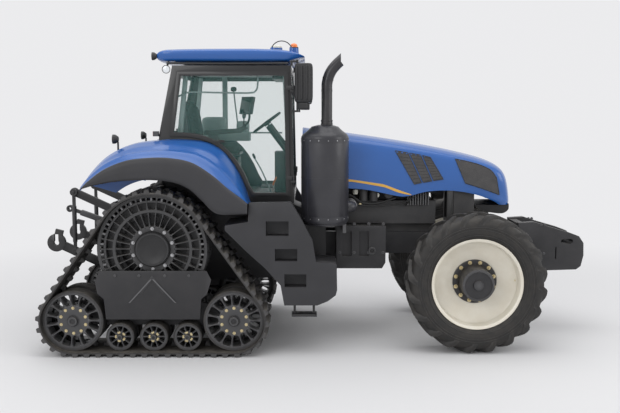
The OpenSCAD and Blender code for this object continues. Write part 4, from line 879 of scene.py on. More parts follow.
def roofShape():
    # Side outlines of the crown and of the lower edge; across, a rounded box whose corners turn by a
    # power curve.
    x = np.concatenate([[0.022, 0.030, 0.045, 0.07], np.linspace(0.11, 1.40, 30),
                        [1.46, 1.52, 1.575, 1.615, 1.640, 1.652]])
    top = np.interp(x, [0.02, 0.05, 0.12, 0.3, 0.6, 1.05, 1.35, 1.49, 1.58, 1.64, 1.653],
                    [3.318, 3.346, 3.360, 3.366, 3.370, 3.372, 3.364, 3.348, 3.322, 3.290, 3.272])
    low = np.interp(x, [0.02, 0.05, 0.12, 0.4, 0.9, 1.3, 1.49, 1.56, 1.653],
                    [3.232, 3.212, 3.205, 3.204, 3.203, 3.204, 3.206, 3.236, 3.258])
    half = roofValues["halfWidth"] * (1 - 0.05 * np.clip((x - 1.25) / 0.4, 0,
        1) ** 2 - 0.06 * np.clip((0.14 - x) / 0.12, 0, 1) ** 2)
    a = np.linspace(0, 2 * np.pi, 64, endpoint=False)
    c, s = np.cos(a), np.sin(a)
    n = 0.24
    across = np.sign(c) * np.abs(c) ** n
    up = np.sign(s) * np.abs(s) ** (n * 1.5)
    mid, tall = (top + low) / 2, (top - low) / 2
    y = half[:, None] * across[None]
    # the top stands a little higher in the middle, the sides are drawn in a little under it
    crown = 0.022 * (1 - across[None] ** 2) * np.clip(up[None], 0, 1)
    pinch = 1 - 0.035 * np.clip(-up[None], -0.2, 1)
    z = mid[:, None] + tall[:, None] * up[None] - 0.010 * np.clip(up[None], 0, 1) + crown * 0.45
    return surface(np.stack([x[:, None] + 0 * y, y * pinch, z], -1), closedV=True, capped=True)


beaconAt = (1.530, -0.560)
padLow = 3.30
bosses = joined([turned([(0, padLow), (0.056, padLow), (0.052, 3.3755), (0, 3.3755)],
                 (beaconAt[0], beaconAt[1], 0), "z", 32), turned([(0, padLow), (0.073, padLow),
                 (0.070, 3.3755), (0, 3.3755)], (1.33, -0.56, 0), "z", 32),
                 turned([(0, padLow), (0.015, padLow), (0.013, 3.3755), (0, 3.3755)], (1.291, -0.68, 0),
                 "z", 16), turned([(0, padLow), (0.015, padLow), (0.013, 3.3755), (0, 3.3755)],
                                  (1.499, -0.68, 0), "z", 16)])
gutter = [tube(smoothPath([(0.13, y, 3.196), (0.5, y, 3.192), (1.0, y, 3.192), (1.47, y, 3.196)], 20),
          0.012, 8)
          for y in (0.80, -0.80)]
addPiece("roof_cap", [(roofShape(), bluePaint), (bosses, bluePaint), (joined(gutter), blackPlastic)], "root",
         stands=["cab_roof"], angle=40)

# ---- Fenders ----
crownZ = 2.370
ridgeIn = [(-0.796, crownZ - 0.498), (-0.690, crownZ - 0.335), (-0.505, crownZ - 0.165),
           (-0.25, crownZ - 0.052), (0.05, crownZ - 0.010), (0.30, crownZ - 0.004), (0.55, crownZ - 0.030),
           (0.73, crownZ - 0.115), (0.86, crownZ - 0.270), (0.965, crownZ - 0.470), (1.045, crownZ - 0.704)]
ridgeOut = [(-0.752, crownZ - 0.534), (-0.655, crownZ - 0.440), (-0.48, crownZ - 0.315),
            (-0.25, crownZ - 0.225), (0.0, crownZ - 0.194), (0.22, crownZ - 0.197), (0.45, crownZ - 0.245),
            (0.66, crownZ - 0.375), (0.83, crownZ - 0.520), (0.95, crownZ - 0.610), (1.040, crownZ - 0.682)]
hemLine = [(-0.752, crownZ - 0.536), (-0.60, crownZ - 0.492), (-0.36, crownZ - 0.450),
           (-0.05, crownZ - 0.432), (0.22, crownZ - 0.452), (0.40, crownZ - 0.520), (0.54, crownZ - 0.640),
           (0.65, crownZ - 0.755), (0.74, crownZ - 0.800), (0.90, crownZ - 0.803), (1.037, crownZ - 0.800)]
fenderValues = {"inner": 0.803, "outer": 1.2305, "rows": 70, "columns": 26}


def fenderShape():
    # Between the ridge by the cab and the outer ridge the crown falls by a power of the way across, with
    # a raised bead near the outer edge; the sheet's underside lies 9 mm below.
    n, m = fenderValues["rows"], fenderValues["columns"]
    a, b = smoothPath(ridgeIn, n), smoothPath(ridgeOut, n)
    k = np.linspace(0, 1, m)
    fall = np.interp(k, [0, 0.25, 0.55, 0.74, 0.84, 0.93, 1.0], [0, 0.06, 0.30, 0.56, 0.70, 0.90, 1.0])
    y = fenderValues["inner"] + (fenderValues["outer"] - fenderValues["inner"]) * k
    bead = 0.010 * np.exp(-((k - 0.82) / 0.05) ** 2)
    tangent = np.gradient(b, axis=0)
    tangent /= np.linalg.norm(tangent, axis=1, keepdims=True)
    out = np.stack([-tangent[:, 1], tangent[:, 0]], -1)
    line = a[:, None] * (1 - fall[None, :, None]) + b[:, None] * fall[None, :, None]
    line = line - 0.006 * out[:, None] + out[:, None] * bead[None, :, None]
    upper = np.stack([line[..., 0], y[None] + 0 * line[..., 0], line[..., 1]], -1)
    lower = upper.copy()
    lower[..., [0, 2]] -= 0.009 * out[:, None]
    return rimmed(upper, lower)


def skirtShape():
    # From the ridge down to the hem, bowed outwards a little, with its lower edge rolled in.
    n = 60
    top, low = smoothPath(ridgeOut, n), smoothPath(hemLine, n)
    k = np.linspace(0, 1, 16)
    y = 1.2605 - np.interp(k, [0, 0.06, 0.18, 0.5, 0.85, 0.95, 1.0],
                           [0.026, 0.010, 0.002, 0, 0.004, 0.012, 0.024])
    line = top[:, None] * (1 - k[None, :, None]) + low[:, None] * k[None, :, None]
    outer = np.stack([line[..., 0], y[None] + 0 * line[..., 0], line[..., 1]], -1)
    inner = outer - np.array([0, 0.006, 0])
    return rimmed(outer, inner)


wellR = 0.740


def fenderWall():
    # The upright wall beside the cab, under the ridge and over the belt.
    a = smoothPath(ridgeIn, 60) - np.array([0, 0.009])
    arc = np.linspace(math.radians(128), math.asin((1.64 - axleZ) / wellR), 60)
    low = np.stack([wellR * np.cos(arc), axleZ + wellR * np.sin(arc)], -1)
    low = np.where((low[:, 1:] > a[:, 1:] - 0.02), a - np.array([0, 0.02]), low)
    front = np.stack([np.stack([p[:, 0], np.full(60, 0.822), p[:, 1]], -1) for p in (a, low)], 1)
    return slabOf(front, 0.018)


fenderParts = joined([fenderShape(), fenderWall()])
addPiece("fender_tops", [(both(fenderParts), bluePaint)], "root", stands=["fenders"], angle=40)
addPiece("fender_skirt_panels", [(both(skirtShape()), greyPlastic)], "root",
         stands=["fender_skirts"], angle=40)
print("roof and fenders made")

# ---- Cab ----
for node, body, look, slotName, width in [
        ("cab_frame", "root", cabPaint, "cab_paint", 0.008),
        ("door_right_frame", "door_right", cabPaint, "cab_paint", 0.006),
        ("door_left_frame", "door_left", cabPaint, "cab_paint", 0.006),
        ("cab_floor", "root", blackPlastic, "black_plastic", 0.01),
        ("transmission_housing", "root", castGrey, "frame_paint", 0.02),
        ("front_frame", "root", castGrey, "frame_paint", 0.012),
        ("weight_carrier", "root", castGrey, "frame_paint", 0.010),
        ("engine_block", "root", enginePaint, "engine_paint", 0.012),
        ("front_axle_beam", "front_axle", castGrey, "frame_paint", 0.010),
        ("knuckle_right", "steer_right", castGrey, "frame_paint", 0.008),
        ("knuckle_left", "steer_left", castGrey, "frame_paint", 0.008),
        ("dash_column", "root", blackPlastic, "black_plastic", 0.012),
        ("step_tanks", "root", greyPlastic, "dark_plastic", 0.014),
        ("hitch_frame", "root", linkPaint, "link_paint", 0.008),
        ("rockshaft", "lift_arms", linkPaint, "link_paint", 0.008),
        ("lift_rods", "lift_rods", linkPaint, "link_paint", 0.004),
        ("lower_links", "lower_links", linkPaint, "link_paint", 0.008),
        ("top_link", "top_link", linkPaint, "link_paint", 0.005),
         ("drawbar", "drawbar", linkPaint, "link_paint", 0.005),
        ("steering_wheel", "steering_wheel", blackPlastic, "black_plastic", 0.004),
        ("rung_right", "rung_right", blackPlastic, "rung_rubber", 0.004),
        ("rung_left", "rung_left", blackPlastic, "rung_rubber", 0.004),
        ("track_frame_right", "track_right", shieldPaint, "track_paint", 0.010),
        ("track_frame_left", "track_left", shieldPaint, "track_paint", 0.010)]:
    addPiece(node + "_smooth", [softened(node, width), look], body, stands=[node])
for node in ("cab_glass", "door_right_glass", "door_left_glass"):
    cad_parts[node].data.materials.clear()
    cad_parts[node].data.materials.append(tintedGlass)
print("castings and cab frame rounded")

# ---- Exhaust ----
canX, canY, canR = middle("exhaust_canister").x - axleX, -0.780, 0.266


def spunZ(part, count, centre, start=0.0):
    # The same shape count times round an upright line at centre (x, y).
    points, faces = part
    a = (start + np.arange(count)) * 2 * np.pi / count
    c, s = np.cos(a)[:, None], np.sin(a)[:, None]
    x, y = points[:, 0] - centre[0], points[:, 1] - centre[1]
    return joined([(p, faces) for p in np.stack([centre[0] + c * x - s * y, centre[1] + s * x + c * y,
                                                 points[:, 2] + 0 * c], -1)])


def bandZ(radius, low, high, proud, segments=72):
    return turned([(radius - 0.004, low), (radius + proud, low + 0.001), (radius + proud, high - 0.001),
                   (radius - 0.004, high)], (canX, canY, 0), "z", segments)


def canisterShape():
    # A drum with a stepped lid and foot, two bands, two rows of rivets and a lapped seam down its outer side.
    drum = turned([(0, 1.405), (0.225, 1.405), (0.240, 1.412), (0.246, 1.430), (0.258, 1.436), (canR, 1.450),
                   (canR, 2.372), (canR - 0.004, 2.392), (0.250, 2.414), (0.205, 2.446), (0.172, 2.474),
                   (0.150, 2.498), (0.110, 2.510), (0.075, 2.5185), (0, 2.5185)], (canX, canY, 0), "z", 96)
    rims = joined([bandZ(canR, 2.325, 2.372, 0.0022), bandZ(canR, 1.462, 1.510, 0.0022),
                   bandZ(canR, 1.932, 1.940, 0.0015)])
    rivet = turned([(0, 0), (0.0065, 0), (0.005, 0.003), (0, 0.004)], (canX + canR + 0.001, canY, 0), "x", 10)
    rows = joined([spunZ(copies(rivet, [(0, 0, z)]), 16, (canX, canY), 0.31) for z in (2.348, 1.486)])
    seam = spunZ(block((canX + canR - 0.003, canY - 0.011, 1.455),
                 (canX + canR + 0.0016, canY + 0.011, 2.368)), 1, (canX, canY), 0.62)
    return drum, joined([rims, seam]), rows


def ductShape():
    duct = tube(smoothPath([(canX + 0.20, -0.72, 1.59), (canX + 0.262, -0.72, 1.59),
                            (canX + 0.302, -0.700, 1.59), (canX + 0.310, -0.65, 1.59),
                (canX + 0.310, -0.48, 1.59), (canX + 0.310, -0.291, 1.59)], 30),
                0.058, 24)
    clamps = joined([turned([(0.056, y), (0.063, y), (0.063, y + 0.02), (0.056, y + 0.02)],
                     (canX + 0.310, 0, 1.59), "y", 32)
                     for y in (-0.60, -0.40)])
    bracket = joined([block((canX + 0.205, canY + 0.08, 1.29), (canX + 0.245, canY + 0.3495, 1.41)),
                      block((canX - 0.02, canY + 0.10, 1.395), (canX + 0.245, canY + 0.14, 1.412))])
    return duct, clamps, bracket


pipeCut = 2.051


def pipeShape():
    # Straight up, then leaning 25 and 48 degrees forward; the mouth is cut upright.
    x0 = canX + 0.020
    lean = np.radians([25, 48])
    bend = [(x0, canY, 2.5195), (x0, canY, 2.60), (x0, canY, 2.75), (x0, canY, 2.90),
            (x0 + 0.002, canY, 2.975), (x0 + 0.022, canY, 3.055), (x0 + 0.060, canY, 3.128),
            (x0 + 0.115, canY, 3.190)]
    reach = (pipeCut - bend[-1][0]) / math.sin(lean[1])
    bend.append((pipeCut, canY, bend[-1][2] + reach * math.cos(lean[1])))
    path = smoothPath(bend, 40)
    sides = 32
    points, faces = tube(path, 0.0605, sides, hollow=0.005)
    rows = points.reshape(-1, sides, 3)
    aim = np.array([math.sin(lean[1]), 0, math.cos(lean[1])])
    for mouth in (39, 40):
        rows[mouth] += aim * ((pipeCut - rows[mouth][:, :1]) / aim[0])
    shield = [tube(path[k:k + 2], 0.0625, 28) for k in (14, 22)]
    clamp = turned([(0.058, 2.521), (0.070, 2.521), (0.070, 2.530), (0.064, 2.532), (0.064, 2.556),
                    (0.067, 2.558), (0.067, 2.572), (0.058, 2.574)], (x0, canY, 0), "z", 40)
    lug = block((x0 - 0.012, canY - 0.086, 2.556), (x0 + 0.012, canY - 0.062, 2.574))
    return (rows.reshape(-1, 3), faces), joined(shield + [clamp, lug])


drum, drumBands, drumRivets = canisterShape()
duct, ductClamps, canBracket = ductShape()
addPiece("exhaust_drum", [(drum, exhaustPaint), (drumBands, exhaustPaint), (drumRivets, brightSteel),
         (duct, exhaustPaint), (ductClamps, brightSteel), (canBracket, castGrey)], "root",
         stands=["exhaust_canister"], angle=32)
pipe, pipeFittings = pipeShape()
addPiece("exhaust_stack", [(pipe, pipePaint), (pipeFittings, pipePaint)], "root",
         stands=["exhaust_pipe"], angle=40)
print("exhaust made")

# ---- Lamps ----
lampValues = {"beacon": (1.530, -0.560), "dome": (1.330, -0.560), "pad": 3.3765,
              "hoop": (1.395, -0.680, 3.326, 0.120)}


def dome(centre, radius, height, base, axis="z"):
    # A drum with a rounded top.
    k = np.linspace(0, np.pi / 2, 7)
    profile = [(0, 0), (radius * 1.12, 0), (radius * 1.12, base), (radius, base + 0.001)]
    profile += [(radius * np.cos(t), base + 0.3 * (height - base) + 0.7 * (height - base) * np.sin(t))
                for t in k[:-1]] + [(0, height)]
    return turned(profile, centre, axis, 32)


def roundLamp(centre, axis, radius, depth, sign):
    # A bowl, its lens and the ring round it; sign says which way the lens faces.
    bowl = turned([(0, 0), (radius * 0.55, 0), (radius * 0.95, sign * depth * 0.5),
                   (radius, sign * depth * 0.75), (radius, sign * depth), (radius * 0.9, sign * depth),
                   (radius * 0.88, sign * depth * 0.86), (0, sign * depth * 0.86)], centre, axis, 32)
    lens = turned([(0, sign * depth * 0.87), (radius * 0.87, sign * depth * 0.87),
                   (radius * 0.6, sign * depth * 0.94), (0, sign * depth * 0.97)], centre, axis, 32)
    return bowl, lens


def lampShapes():
    bx, by = lampValues["beacon"]
    dx, dy = lampValues["dome"]
    pad = lampValues["pad"]
    hx, hy, hz, hr = lampValues["hoop"]
    a = np.radians(np.linspace(26, 154, 40))
    hoop = tube(np.stack([hx + hr * np.cos(a), np.full(40, hy), hz + hr * np.sin(a)], -1), 0.0055, 10)
    dark = [hoop, turned([(0, pad), (0.050, pad), (0.050, pad + 0.010), (0, pad + 0.012)], (bx, by, 0), "z",
                         32)]
    dark += [turned([(0, pad), (0.009, pad), (0.007, pad + 0.014), (0, pad + 0.014)],
             (hx + k * 0.104, hy, 0), "z", 12)
             for k in (1, -1)]
    pale = [copies(dome((dx, dy, 0), 0.06, 0.036, 0.010), [(0, 0, pad)])]
    lenses = []
    for k in (1, -1):
        # roof corner lamps and pillar lamps that look back, and the lamps on stalks by the fenders
        bowl, lens = roundLamp((0.018, k * 0.760, 3.273), "x", 0.044, 0.054, -1)
        dark.append(bowl)
        lenses.append(lens)
        dark.append(block((-0.030, k * 0.800 - 0.036, 2.392), (0.028, k * 0.800 + 0.024, 2.448)))
        dark.append(tube([(-0.43, k * 0.7885, 2.10), (-0.43, k * 0.7885, 2.33)], 0.011, 12))
        bowl, lens = roundLamp((-0.425, k * 0.7885, 2.360), "x", 0.052, 0.062, -1)
        dark.append(bowl)
        lenses.append(lens)
        # a white work lamp under each rear roof corner
        bowl, lens = roundLamp((0.125, k * 0.775, 3.128), "y", 0.046, 0.036, k)
        dark += [bowl, tube([(0.125, k * 0.772, 3.135), (0.135, k * 0.765, 3.18),
                             (0.150, k * 0.760, 3.215)], 0.011, 12)]
        lenses.append(lens)
    red = [block((-0.0325, k * 0.800 - 0.032, 2.396), (-0.029, k * 0.800 + 0.020, 2.444)) for k in (1, -1)]
    return joined(dark), joined(pale), joined(lenses), joined(red), copies(dome((bx, by, 0), 0.040, 0.0545,
                                                                                0.014), [(0, 0, pad)])


darkLamps, paleDome, clearLenses, redLenses, beacon = lampShapes()
addPiece("lamp_set", [(darkLamps, blackPlastic), (paleDome, whitePlastic), (clearLenses, lampLens),
         (redLenses, redLens), (beacon, amberLens)], "root", stands=["lamps"], angle=40)
print("lamps made")

# ---- Seat ----
seatValues = {"voxel": 0.006, "pressure": 4.0, "steps": 20, "cap": 0.022}


def pillowShape(size, power=3.2, rows=36, columns=64):
    # A rounded box: each direction is raised to a power, so its faces are crowned and its edges round.
    u = np.linspace(-np.pi / 2, np.pi / 2, rows)[:, None]
    v = np.linspace(0, 2 * np.pi, columns, endpoint=False)[None]
    point = np.stack([np.cos(u) * np.cos(v), np.cos(u) * np.sin(v), np.sin(u) + 0 * v], -1)
    length = (np.abs(point) ** power).sum(-1, keepdims=True) ** (1 / power)
    return surface(point / length * np.array(size) / 2, closedV=True)


def placed(part, centre, tilt=0.0):
    # Turned about a line along Y, then moved to its centre.
    p, faces = part
    c, s = math.cos(math.radians(tilt)), math.sin(math.radians(tilt))
    return np.stack([c * p[:, 0] + s * p[:, 2], p[:, 1], c * p[:, 2] - s * p[:, 0]],
                    -1) + np.array(centre), faces


def applyModifiers(piece):
    # The evaluated mesh becomes the piece's own, with no modifier left on it.
    shaped = bpy.data.meshes.new_from_object(piece.evaluated_get(bpy.context.evaluated_depsgraph_get()))
    piece.modifiers.clear()
    piece.data = shaped


def addCushion(name, part, seams):
    # The cover is inflated like a real one; seams are pressed into it afterwards.
    points, faces = part
    data = bpy.data.meshes.new(name)
    data.from_pydata((points + np.array([axleX, 0, 0])).tolist(), [], faces)
    cushion = bpy.data.objects.new(name, data)
    bpy.context.scene.collection.objects.link(cushion)
    remesh = cushion.modifiers.new("remesh", "REMESH")
    remesh.mode, remesh.voxel_size = "VOXEL", seatValues["voxel"]
    applyModifiers(cushion)
    rest = np.array([v.co for v in cushion.data.vertices])
    cloth = cushion.modifiers.new("cloth", "CLOTH")
    cloth.settings.use_pressure = True
    cloth.settings.uniform_pressure_force = seatValues["pressure"]
    cloth.settings.effector_weights.gravity = 0.0
    cloth.point_cache.frame_start, cloth.point_cache.frame_end = 1, seatValues["steps"]
    for step in range(1, seatValues["steps"] + 1):
        bpy.context.scene.frame_set(step)
    applyModifiers(cushion)
    bpy.context.scene.frame_set(1)
    moved = np.array([v.co for v in cushion.data.vertices])
    if moved.shape == rest.shape:
        shift = moved - rest
        far = np.linalg.norm(shift, axis=1, keepdims=True)
        moved = rest + shift * np.minimum(1, seatValues["cap"] / np.maximum(far, 1e-9))
        rest = moved
    pressed = rest.copy()
    centre = rest.mean(0)
    for axis, at, depth in seams:
        # a sewn channel: points near the line sink towards the middle of the cushion
        near = np.exp(-((rest[:, axis] - centre[axis] - at) / 0.008) ** 2)[:, None]
        inward = (centre - rest) / np.linalg.norm(centre - rest, axis=1, keepdims=True)
        pressed += inward * near * depth
    cushion.data.vertices.foreach_set("co", pressed.ravel())
    cushion.data.materials.append(fabricGrey)
    cushion.data.shade_smooth()
    cushion.modifiers.new("soft", "SUBSURF").levels = 1
    applyModifiers(cushion)
    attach(cushion, "seat")
    return cushion


addCushion("seat_cushion", placed(pillowShape((0.50, 0.48, 0.115), 4.5), (0.625, 0, 2.212), -4),
                      [(1, 0.15, 0.006), (1, -0.15, 0.006), (0, -0.11, 0.004)])
addCushion("seat_back_cushion", placed(pillowShape((0.105, 0.46, 0.50), 4.0), (0.315, 0, 2.515), -9),
                      [(1, 0.14, 0.006), (1, -0.14, 0.006), (2, -0.04, 0.004)])
addCushion("head_rest", placed(pillowShape((0.085, 0.27, 0.125), 3.4), (0.262, 0, 2.735), -9), [])


def seatFrameShape():
    # A sprung foot with bellows folds, the pan that the cushion lies on, and the shell behind the back.
    folds = np.linspace(2.051, 2.128, 9)
    inset = np.where(np.arange(9) % 2 == 0, 0.0, 0.016)
    rows = np.stack([np.array([(0.380 + i, -0.205 + i, z), (0.860 - i, -0.205 + i, z),
                               (0.860 - i, 0.205 - i, z), (0.380 + i, 0.205 - i, z)]) for z,
                               i in zip(folds, inset)])
    foot = surface(rows, closedV=True, capped=True)
    pan = placed(block((-0.26, -0.235, -0.012), (0.25, 0.235, 0.012)), (0.628, 0, 2.147), -4)
    shellBack = placed(pillowShape((0.05, 0.44, 0.50), 5.0), (0.278, 0, 2.50), -9)
    hinge = both(turned([(0, 0.215), (0.05, 0.215), (0.05, 0.245), (0.04, 0.250), (0, 0.250)],
                        (0.36, 0, 2.225), "y", 24))
    posts = both(tube([(0.276, 0.07, 2.66), (0.268, 0.07, 2.72)], 0.007, 10))
    return joined([foot, pan, shellBack, hinge, posts])


addPiece("seat_frame", [(seatFrameShape(), blackPlastic)], "seat", stands=["seat"],
         bevel=0.003)


def armrestShape():
    # The right-hand armrest on its post, a lever with its knob, and the display turned to the driver.
    post = joined([block((0.42, -0.40, 2.06), (0.80, -0.2205, 2.11)),
                   block((0.53, -0.40, 2.10), (0.64, -0.33, 2.40))])
    pad = plate([(0.48, 2.392), (0.90, 2.420), (0.985, 2.470), (0.955, 2.505), (0.86, 2.470), (0.50, 2.450),
                (0.482, 2.43)], -0.42, -0.30)
    lever = joined([tube([(0.938, -0.362, 2.48), (0.944, -0.362, 2.60)], 0.008, 12),
                    placed(pillowShape((0.045, 0.05, 0.085), 2.4), (0.946, -0.362, 2.625), 8)])
    turn = math.radians(38)
    display = placed(block((-0.018, -0.115, -0.10), (0.018, 0.115, 0.10)), (0, 0, 0), 12)[0]
    c, s = math.cos(turn), math.sin(turn)
    spin = np.array([[c, -s, 0], [s, c, 0], [0, 0, 1]])
    faces = block((-1, -1, -1), (1, 1, 1))[1]
    at = np.array([0.985, -0.40, 2.735])
    screen = placed(block((-0.0195, -0.103, -0.088), (-0.017, 0.103, 0.088)), (0, 0, 0), 12)[0]
    arm = tube(smoothPath([(0.93, -0.35, 2.49), (0.99, -0.37, 2.54), (1.01, -0.39, 2.62),
                           (0.995, -0.40, 2.70)], 12), 0.013, 12)
    return joined([post, lever, arm, (display @ spin.T + at, faces)]), pad, (screen @ spin.T + at, faces)


armBody, armPad, armScreen = armrestShape()
addPiece("armrest", [(armBody, blackPlastic), (armPad, fabricGrey), (armScreen, darkGlass)], "seat",
         stands=["armrest_console"], bevel=0.004)
print("seat made")

# ---- Cab details ----
cabValues = {"half": 0.757, "windowLow": (0.032, 2.385), "windowHigh": (0.215, 3.110), "thick": 0.014}


def rearWindowShape():
    # A frame of four bars that leans with the cab's rear edge, its pane, two hinges and the latch bar.
    low, high = np.array(cabValues["windowLow"]), np.array(cabValues["windowHigh"])
    d = (high - low) / np.linalg.norm(high - low)
    n = np.array([-d[1], d[0]]) * cabValues["thick"]
    w = cabValues["half"]

    def bar(a, b, t0, t1, y0, y1):
        p, q = low + d * a, low + d * b
        return plate([p + n * t0, q + n * t0, q + n * t1, p + n * t1], y0, y1)

    full = np.linalg.norm(high - low) - 0.010
    frameBars = joined([bar(0, full, 0, 1, w - 0.045, w), bar(0, full, 0, 1, -w, 0.045 - w),
                        bar(0, 0.045, 0, 1, 0.044 - w, w - 0.044),
                        bar(full - 0.05, full, 0, 1, 0.044 - w, w - 0.044)])
    hinges = both(turned([(0, w - 0.060), (0.017, w - 0.060), (0.017, w - 0.002), (0, w - 0.002)],
                         (high[0], 0, high[1]), "y", 20))
    latch = bar(0.060, 0.085, -0.9, 0.1, -0.07, 0.07)
    pane = bar(0.040, full - 0.046, 0.32, 0.62, 0.041 - w, w - 0.041)
    return joined([frameBars, hinges, latch]), pane


windowFrame, windowPane = rearWindowShape()
addPiece("rear_screen_window", [(windowFrame, cabPaint), (windowPane, tintedGlass)], "rear_screen",
         stands=["rear_window"], bevel=0.002)


def handleShape():
    # The door's pull at its rear lower corner, with the push button in it.
    body = joined([block((0.64, 0.838, 2.330), (0.76, 0.852, 2.352)),
                   block((0.644, 0.850, 2.326), (0.756, 0.872, 2.350)),
                   turned([(0, 0.868), (0.008, 0.868), (0.008, 0.8745), (0, 0.8745)], (0.655, 0, 2.338),
                          "y", 16)])
    return body


for side, sign in sides.items():
    addPiece(f"door_pull_{side}", [(sided(handleShape(), sign), blackPlastic)], f"door_{side}",
             bevel=0.002)


def mirrorShape():
    # The head's outer face has three upright ribs; below it hangs the wide-angle glass, and both panes
    # look back.
    c, s = math.cos(math.radians(28)), math.sin(math.radians(28))
    turn = np.array([[c, s, 0], [-s, c, 0], [0, 0, 1]])
    head = placed(pillowShape((0.206, 0.062, 0.424), 9.0), (0.084, 0.011, 2.975))
    ribs = [placed(pillowShape((0.030, 0.020, 0.370), 6.0), (x, 0.041, 2.975)) for x in (0.016, 0.078, 0.140)]
    lower = placed(pillowShape((0.128, 0.056, 0.074), 7.0), (0.085, 0.010, 2.7265))
    clamp = [turned([(0.0125, z), (0.021, z), (0.021, z + 0.045), (0.0125, z + 0.045)], (0, 0, 0), "z",
                    24) for z in (2.79, 3.12)]
    panes = [placed(pillowShape((0.178, 0.004, 0.380), 9.0), (0.084, -0.0205, 2.975)),
             placed(pillowShape((0.108, 0.004, 0.056), 9.0), (0.085, -0.0185, 2.7265))]
    at = np.array([1.572, 0.892, 0])
    body, glass = joined([head, lower] + ribs + clamp), joined(panes)
    return (body[0] @ turn + at, body[1]), (glass[0] @ turn + at, glass[1])


mirrorBody, mirrorGlass = mirrorShape()
for side, sign in sides.items():
    addPiece(f"mirror_head_{side}", [(sided(mirrorBody, sign), blackPlastic),
             (sided(mirrorGlass, sign), brightSteel)], f"mirror_{side}",
             stands=[f"mirror_{side}"])


def cabInsideShape():
    # Headliner with its roof console, sun blind, hand rails, left-hand console, wiper, and the levers by
    # the seat.
    lining = [plate([(0.25, 3.150), (0.30, 3.105), (1.40, 3.100), (1.46, 3.150)], -0.70, 0.70),
              plate([(0.22, 2.42), (0.30, 3.09), (0.34, 3.09), (0.27, 2.42)], -0.70, -0.60),
              plate([(0.22, 2.42), (0.30, 3.09), (0.34, 3.09), (0.27, 2.42)], 0.60, 0.70),
              plate([(1.462, 1.80), (1.478, 1.80), (1.440, 3.09), (1.405, 3.09)], 0.70, 0.74),
              plate([(1.462, 1.80), (1.478, 1.80), (1.440, 3.09), (1.405, 3.09)], -0.74, -0.70)]
    lining += [placed(pillowShape((0.30, 0.26, 0.20), 5.0), (0.50, 0.50, 2.50)),
               block((0.36, 0.40, 2.30), (0.95, 0.66, 2.41)),
               placed(pillowShape((0.16, 0.20, 0.16), 4.0), (0.86, 0.52, 2.47)),
               block((0.58, 0.735, 2.34), (0.645, 0.757, 3.11))]
    dark = [block((0.40, -0.62, 3.070), (1.30, -0.45, 3.104)),
            block((1.28, -0.50, 3.035), (1.41, 0.50, 3.102)),
                             tube(smoothPath([(0.160, -0.742, 2.79), (0.26, -0.735, 2.84),
                             (0.37, -0.730, 2.878), (0.70, -0.730, 2.875), (1.03, -0.730, 2.872),
                 (1.105, -0.730, 2.895), (1.128, -0.730, 2.96), (1.130, -0.735, 3.10)], 40),
                 0.010, 10),
            tube(smoothPath([(0.80, 0.46, 2.50), (0.772, 0.44, 2.75), (0.755, 0.42, 2.93)], 12), 0.009, 10),
            placed(pillowShape((0.075, 0.05, 0.06), 2.6), (0.755, 0.42, 2.945)),
            tube(smoothPath([(1.06, -0.30, 2.12), (1.15, -0.32, 1.96), (1.262, -0.33, 1.702)], 12), 0.008,
            10), placed(pillowShape((0.03, 0.03, 0.07), 2.6), (1.052, -0.30, 2.145), -25),
            tube([(0.93, 0.745, 2.395), (1.35, 0.745, 2.395)], 0.010, 10),
            tube(smoothPath([(1.486, -0.10, 1.86), (1.475, 0.10, 2.10), (1.470, 0.30, 2.50)], 12), 0.006, 8)]
    orange = [placed(pillowShape((0.022, 0.05, 0.11), 3.0), (1.300, -0.46, 1.865), 25),
              tube([(1.278, -0.46, 1.735), (1.296, -0.46, 1.84)], 0.008, 10)]
    return joined(lining), joined(dark), joined(orange)


insideLining, insideDark, insideOrange = cabInsideShape()
addPiece("cab_inside", [(insideLining, liningGrey), (insideDark, blackPlastic),
         (insideOrange, orangePaint)], "root", bevel=0.002)
print("cab details made")

# ---- Engine bay, castings and track details ----


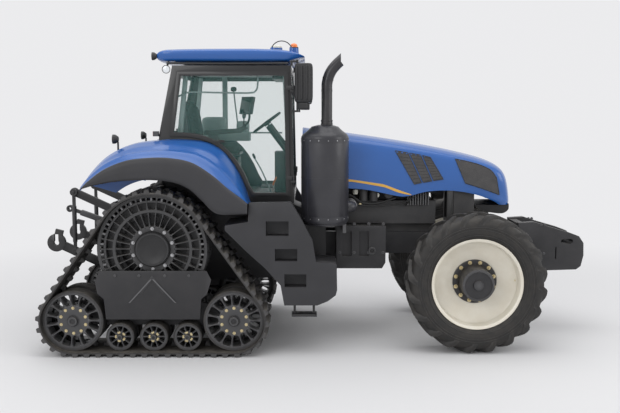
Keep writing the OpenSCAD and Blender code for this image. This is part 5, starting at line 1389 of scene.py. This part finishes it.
def baySide():
    # What shows between the hood and the frame: filter bowl, canisters, hoses, pipes, caps and a belt guard.
    dark = [turned([(0, 1.62), (0.045, 1.62), (0.050, 1.635), (0.050, 1.76), (0.044, 1.775), (0, 1.775)],
            (x, y, 0), "z", 24)
            for x, y in ((2.34, 0.335), (2.46, 0.335))]
    dark += [turned([(0, 0.250), (0.055, 0.250), (0.055, 0.350), (0.045, 0.360), (0, 0.360)],
                    (2.64, 0, 1.70), "y", 28)]
    hoses = [tube(smoothPath(p, 30), r, 12) for p, r in (
        ([(2.02, 0.36, 1.72), (2.18, 0.38, 1.69), (2.34, 0.375, 1.60), (2.52, 0.37, 1.60),
        (2.72, 0.36, 1.66)], 0.014), ([(2.05, 0.34, 1.64), (2.30, 0.385, 1.575), (2.55, 0.385, 1.565),
        (2.80, 0.37, 1.60), (2.95, 0.33, 1.68)], 0.010),
        ([(2.62, 0.30, 1.78), (2.78, 0.33, 1.74), (2.95, 0.34, 1.72), (3.10, 0.30, 1.74),
        (3.24, 0.24, 1.70)], 0.024), ([(2.84, 0.32, 1.56), (2.88, 0.35, 1.64), (2.90, 0.34, 1.76)], 0.012),
        ([(3.02, 0.30, 1.56), (3.04, 0.33, 1.66), (3.10, 0.32, 1.76)], 0.009))]
    fins = [block((x, 0.25, 1.57), (x + 0.012, 0.345, 1.72)) for x in np.arange(2.86, 3.12, 0.03)]
    yellow = [turned([(0, 1.775), (0.024, 1.775), (0.026, 1.792), (0.018, 1.796), (0, 1.796)],
              (2.46, 0.335, 0), "z", 16), turned([(0, 0.360), (0.012, 0.360), (0.012, 0.368), (0, 0.368)],
              (2.64, 0, 1.745), "y", 12), turned([(0, 0), (0.014, 0), (0.014, 0.010), (0, 0.012)],
                                                 (2.30, 0.379, 1.585), "y", 12)]
    pale = [turned([(0, 0.345), (0.030, 0.345), (0.028, 0.352), (0, 0.354)], (2.50, 0, 1.69), "y", 24),
            turned([(0, 1.70), (0.026, 1.70), (0.030, 1.71), (0.030, 1.755), (0, 1.757)], (2.245, 0.345, 0),
                   "z", 20)]
    return joined(dark + fins), joined(hoses), joined(yellow), joined(pale)


bayDark, bayHoses, bayYellow, bayPale = baySide()
addPiece("engine_fittings", [(both(bayDark), enginePaint), (both(bayHoses), hoseRubber),
         (both(bayYellow), brassPlate), (both(bayPale), whitePlastic)], "root", bevel=0.0)


def carrierDetails():
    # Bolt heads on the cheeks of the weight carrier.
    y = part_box("weight_carrier")[1].y
    spots = [(4.46, y, 1.33), (4.50, y, 1.33), (4.46, y, 0.985), (4.50, y, 0.985)]
    return bolts(spots, "y", 0.013, 0.010)


def frameDetails():
    # Bosses, a plugged port and bolt rows on the side casting.
    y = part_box("front_frame")[1].y
    return joined([bolts([(2.06 + 0.17 * k, y, z) for k in range(4) for z in (1.36, 1.02)], "y", 0.014,
                   0.010), turned([(0.022, y - 0.002), (0.045, y - 0.002), (0.045, y + 0.016),
                           (0.040, y + 0.020), (0.026, y + 0.020), (0.022, y + 0.014)], (2.44, 0, 1.04),
                           "y", 32)])


addPiece("frame_bolts", [(both(carrierDetails()), castGrey), (both(frameDetails()), castGrey)], "root")


def shieldDetails():
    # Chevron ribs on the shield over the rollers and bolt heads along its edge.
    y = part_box("track_frame_left")[1].y
    ribs = [plate([(a, 0.60), (a + 0.018, 0.60), (b + 0.018, 0.86), (b, 0.86)], y - 0.001, y + 0.003)
            for a, b in ((-0.26, -0.02), (0.242, 0.002))]
    heads = bolts([(x, y, z) for x in (-0.40, -0.14, 0.14, 0.40) for z in (0.90,)], "y", 0.012, 0.008)
    return joined(ribs + [heads])


for side, sign in sides.items():
    addPiece(f"shield_ribs_{side}", [(sided(shieldDetails(), sign), shieldPaint)], f"track_{side}")
print("details made")
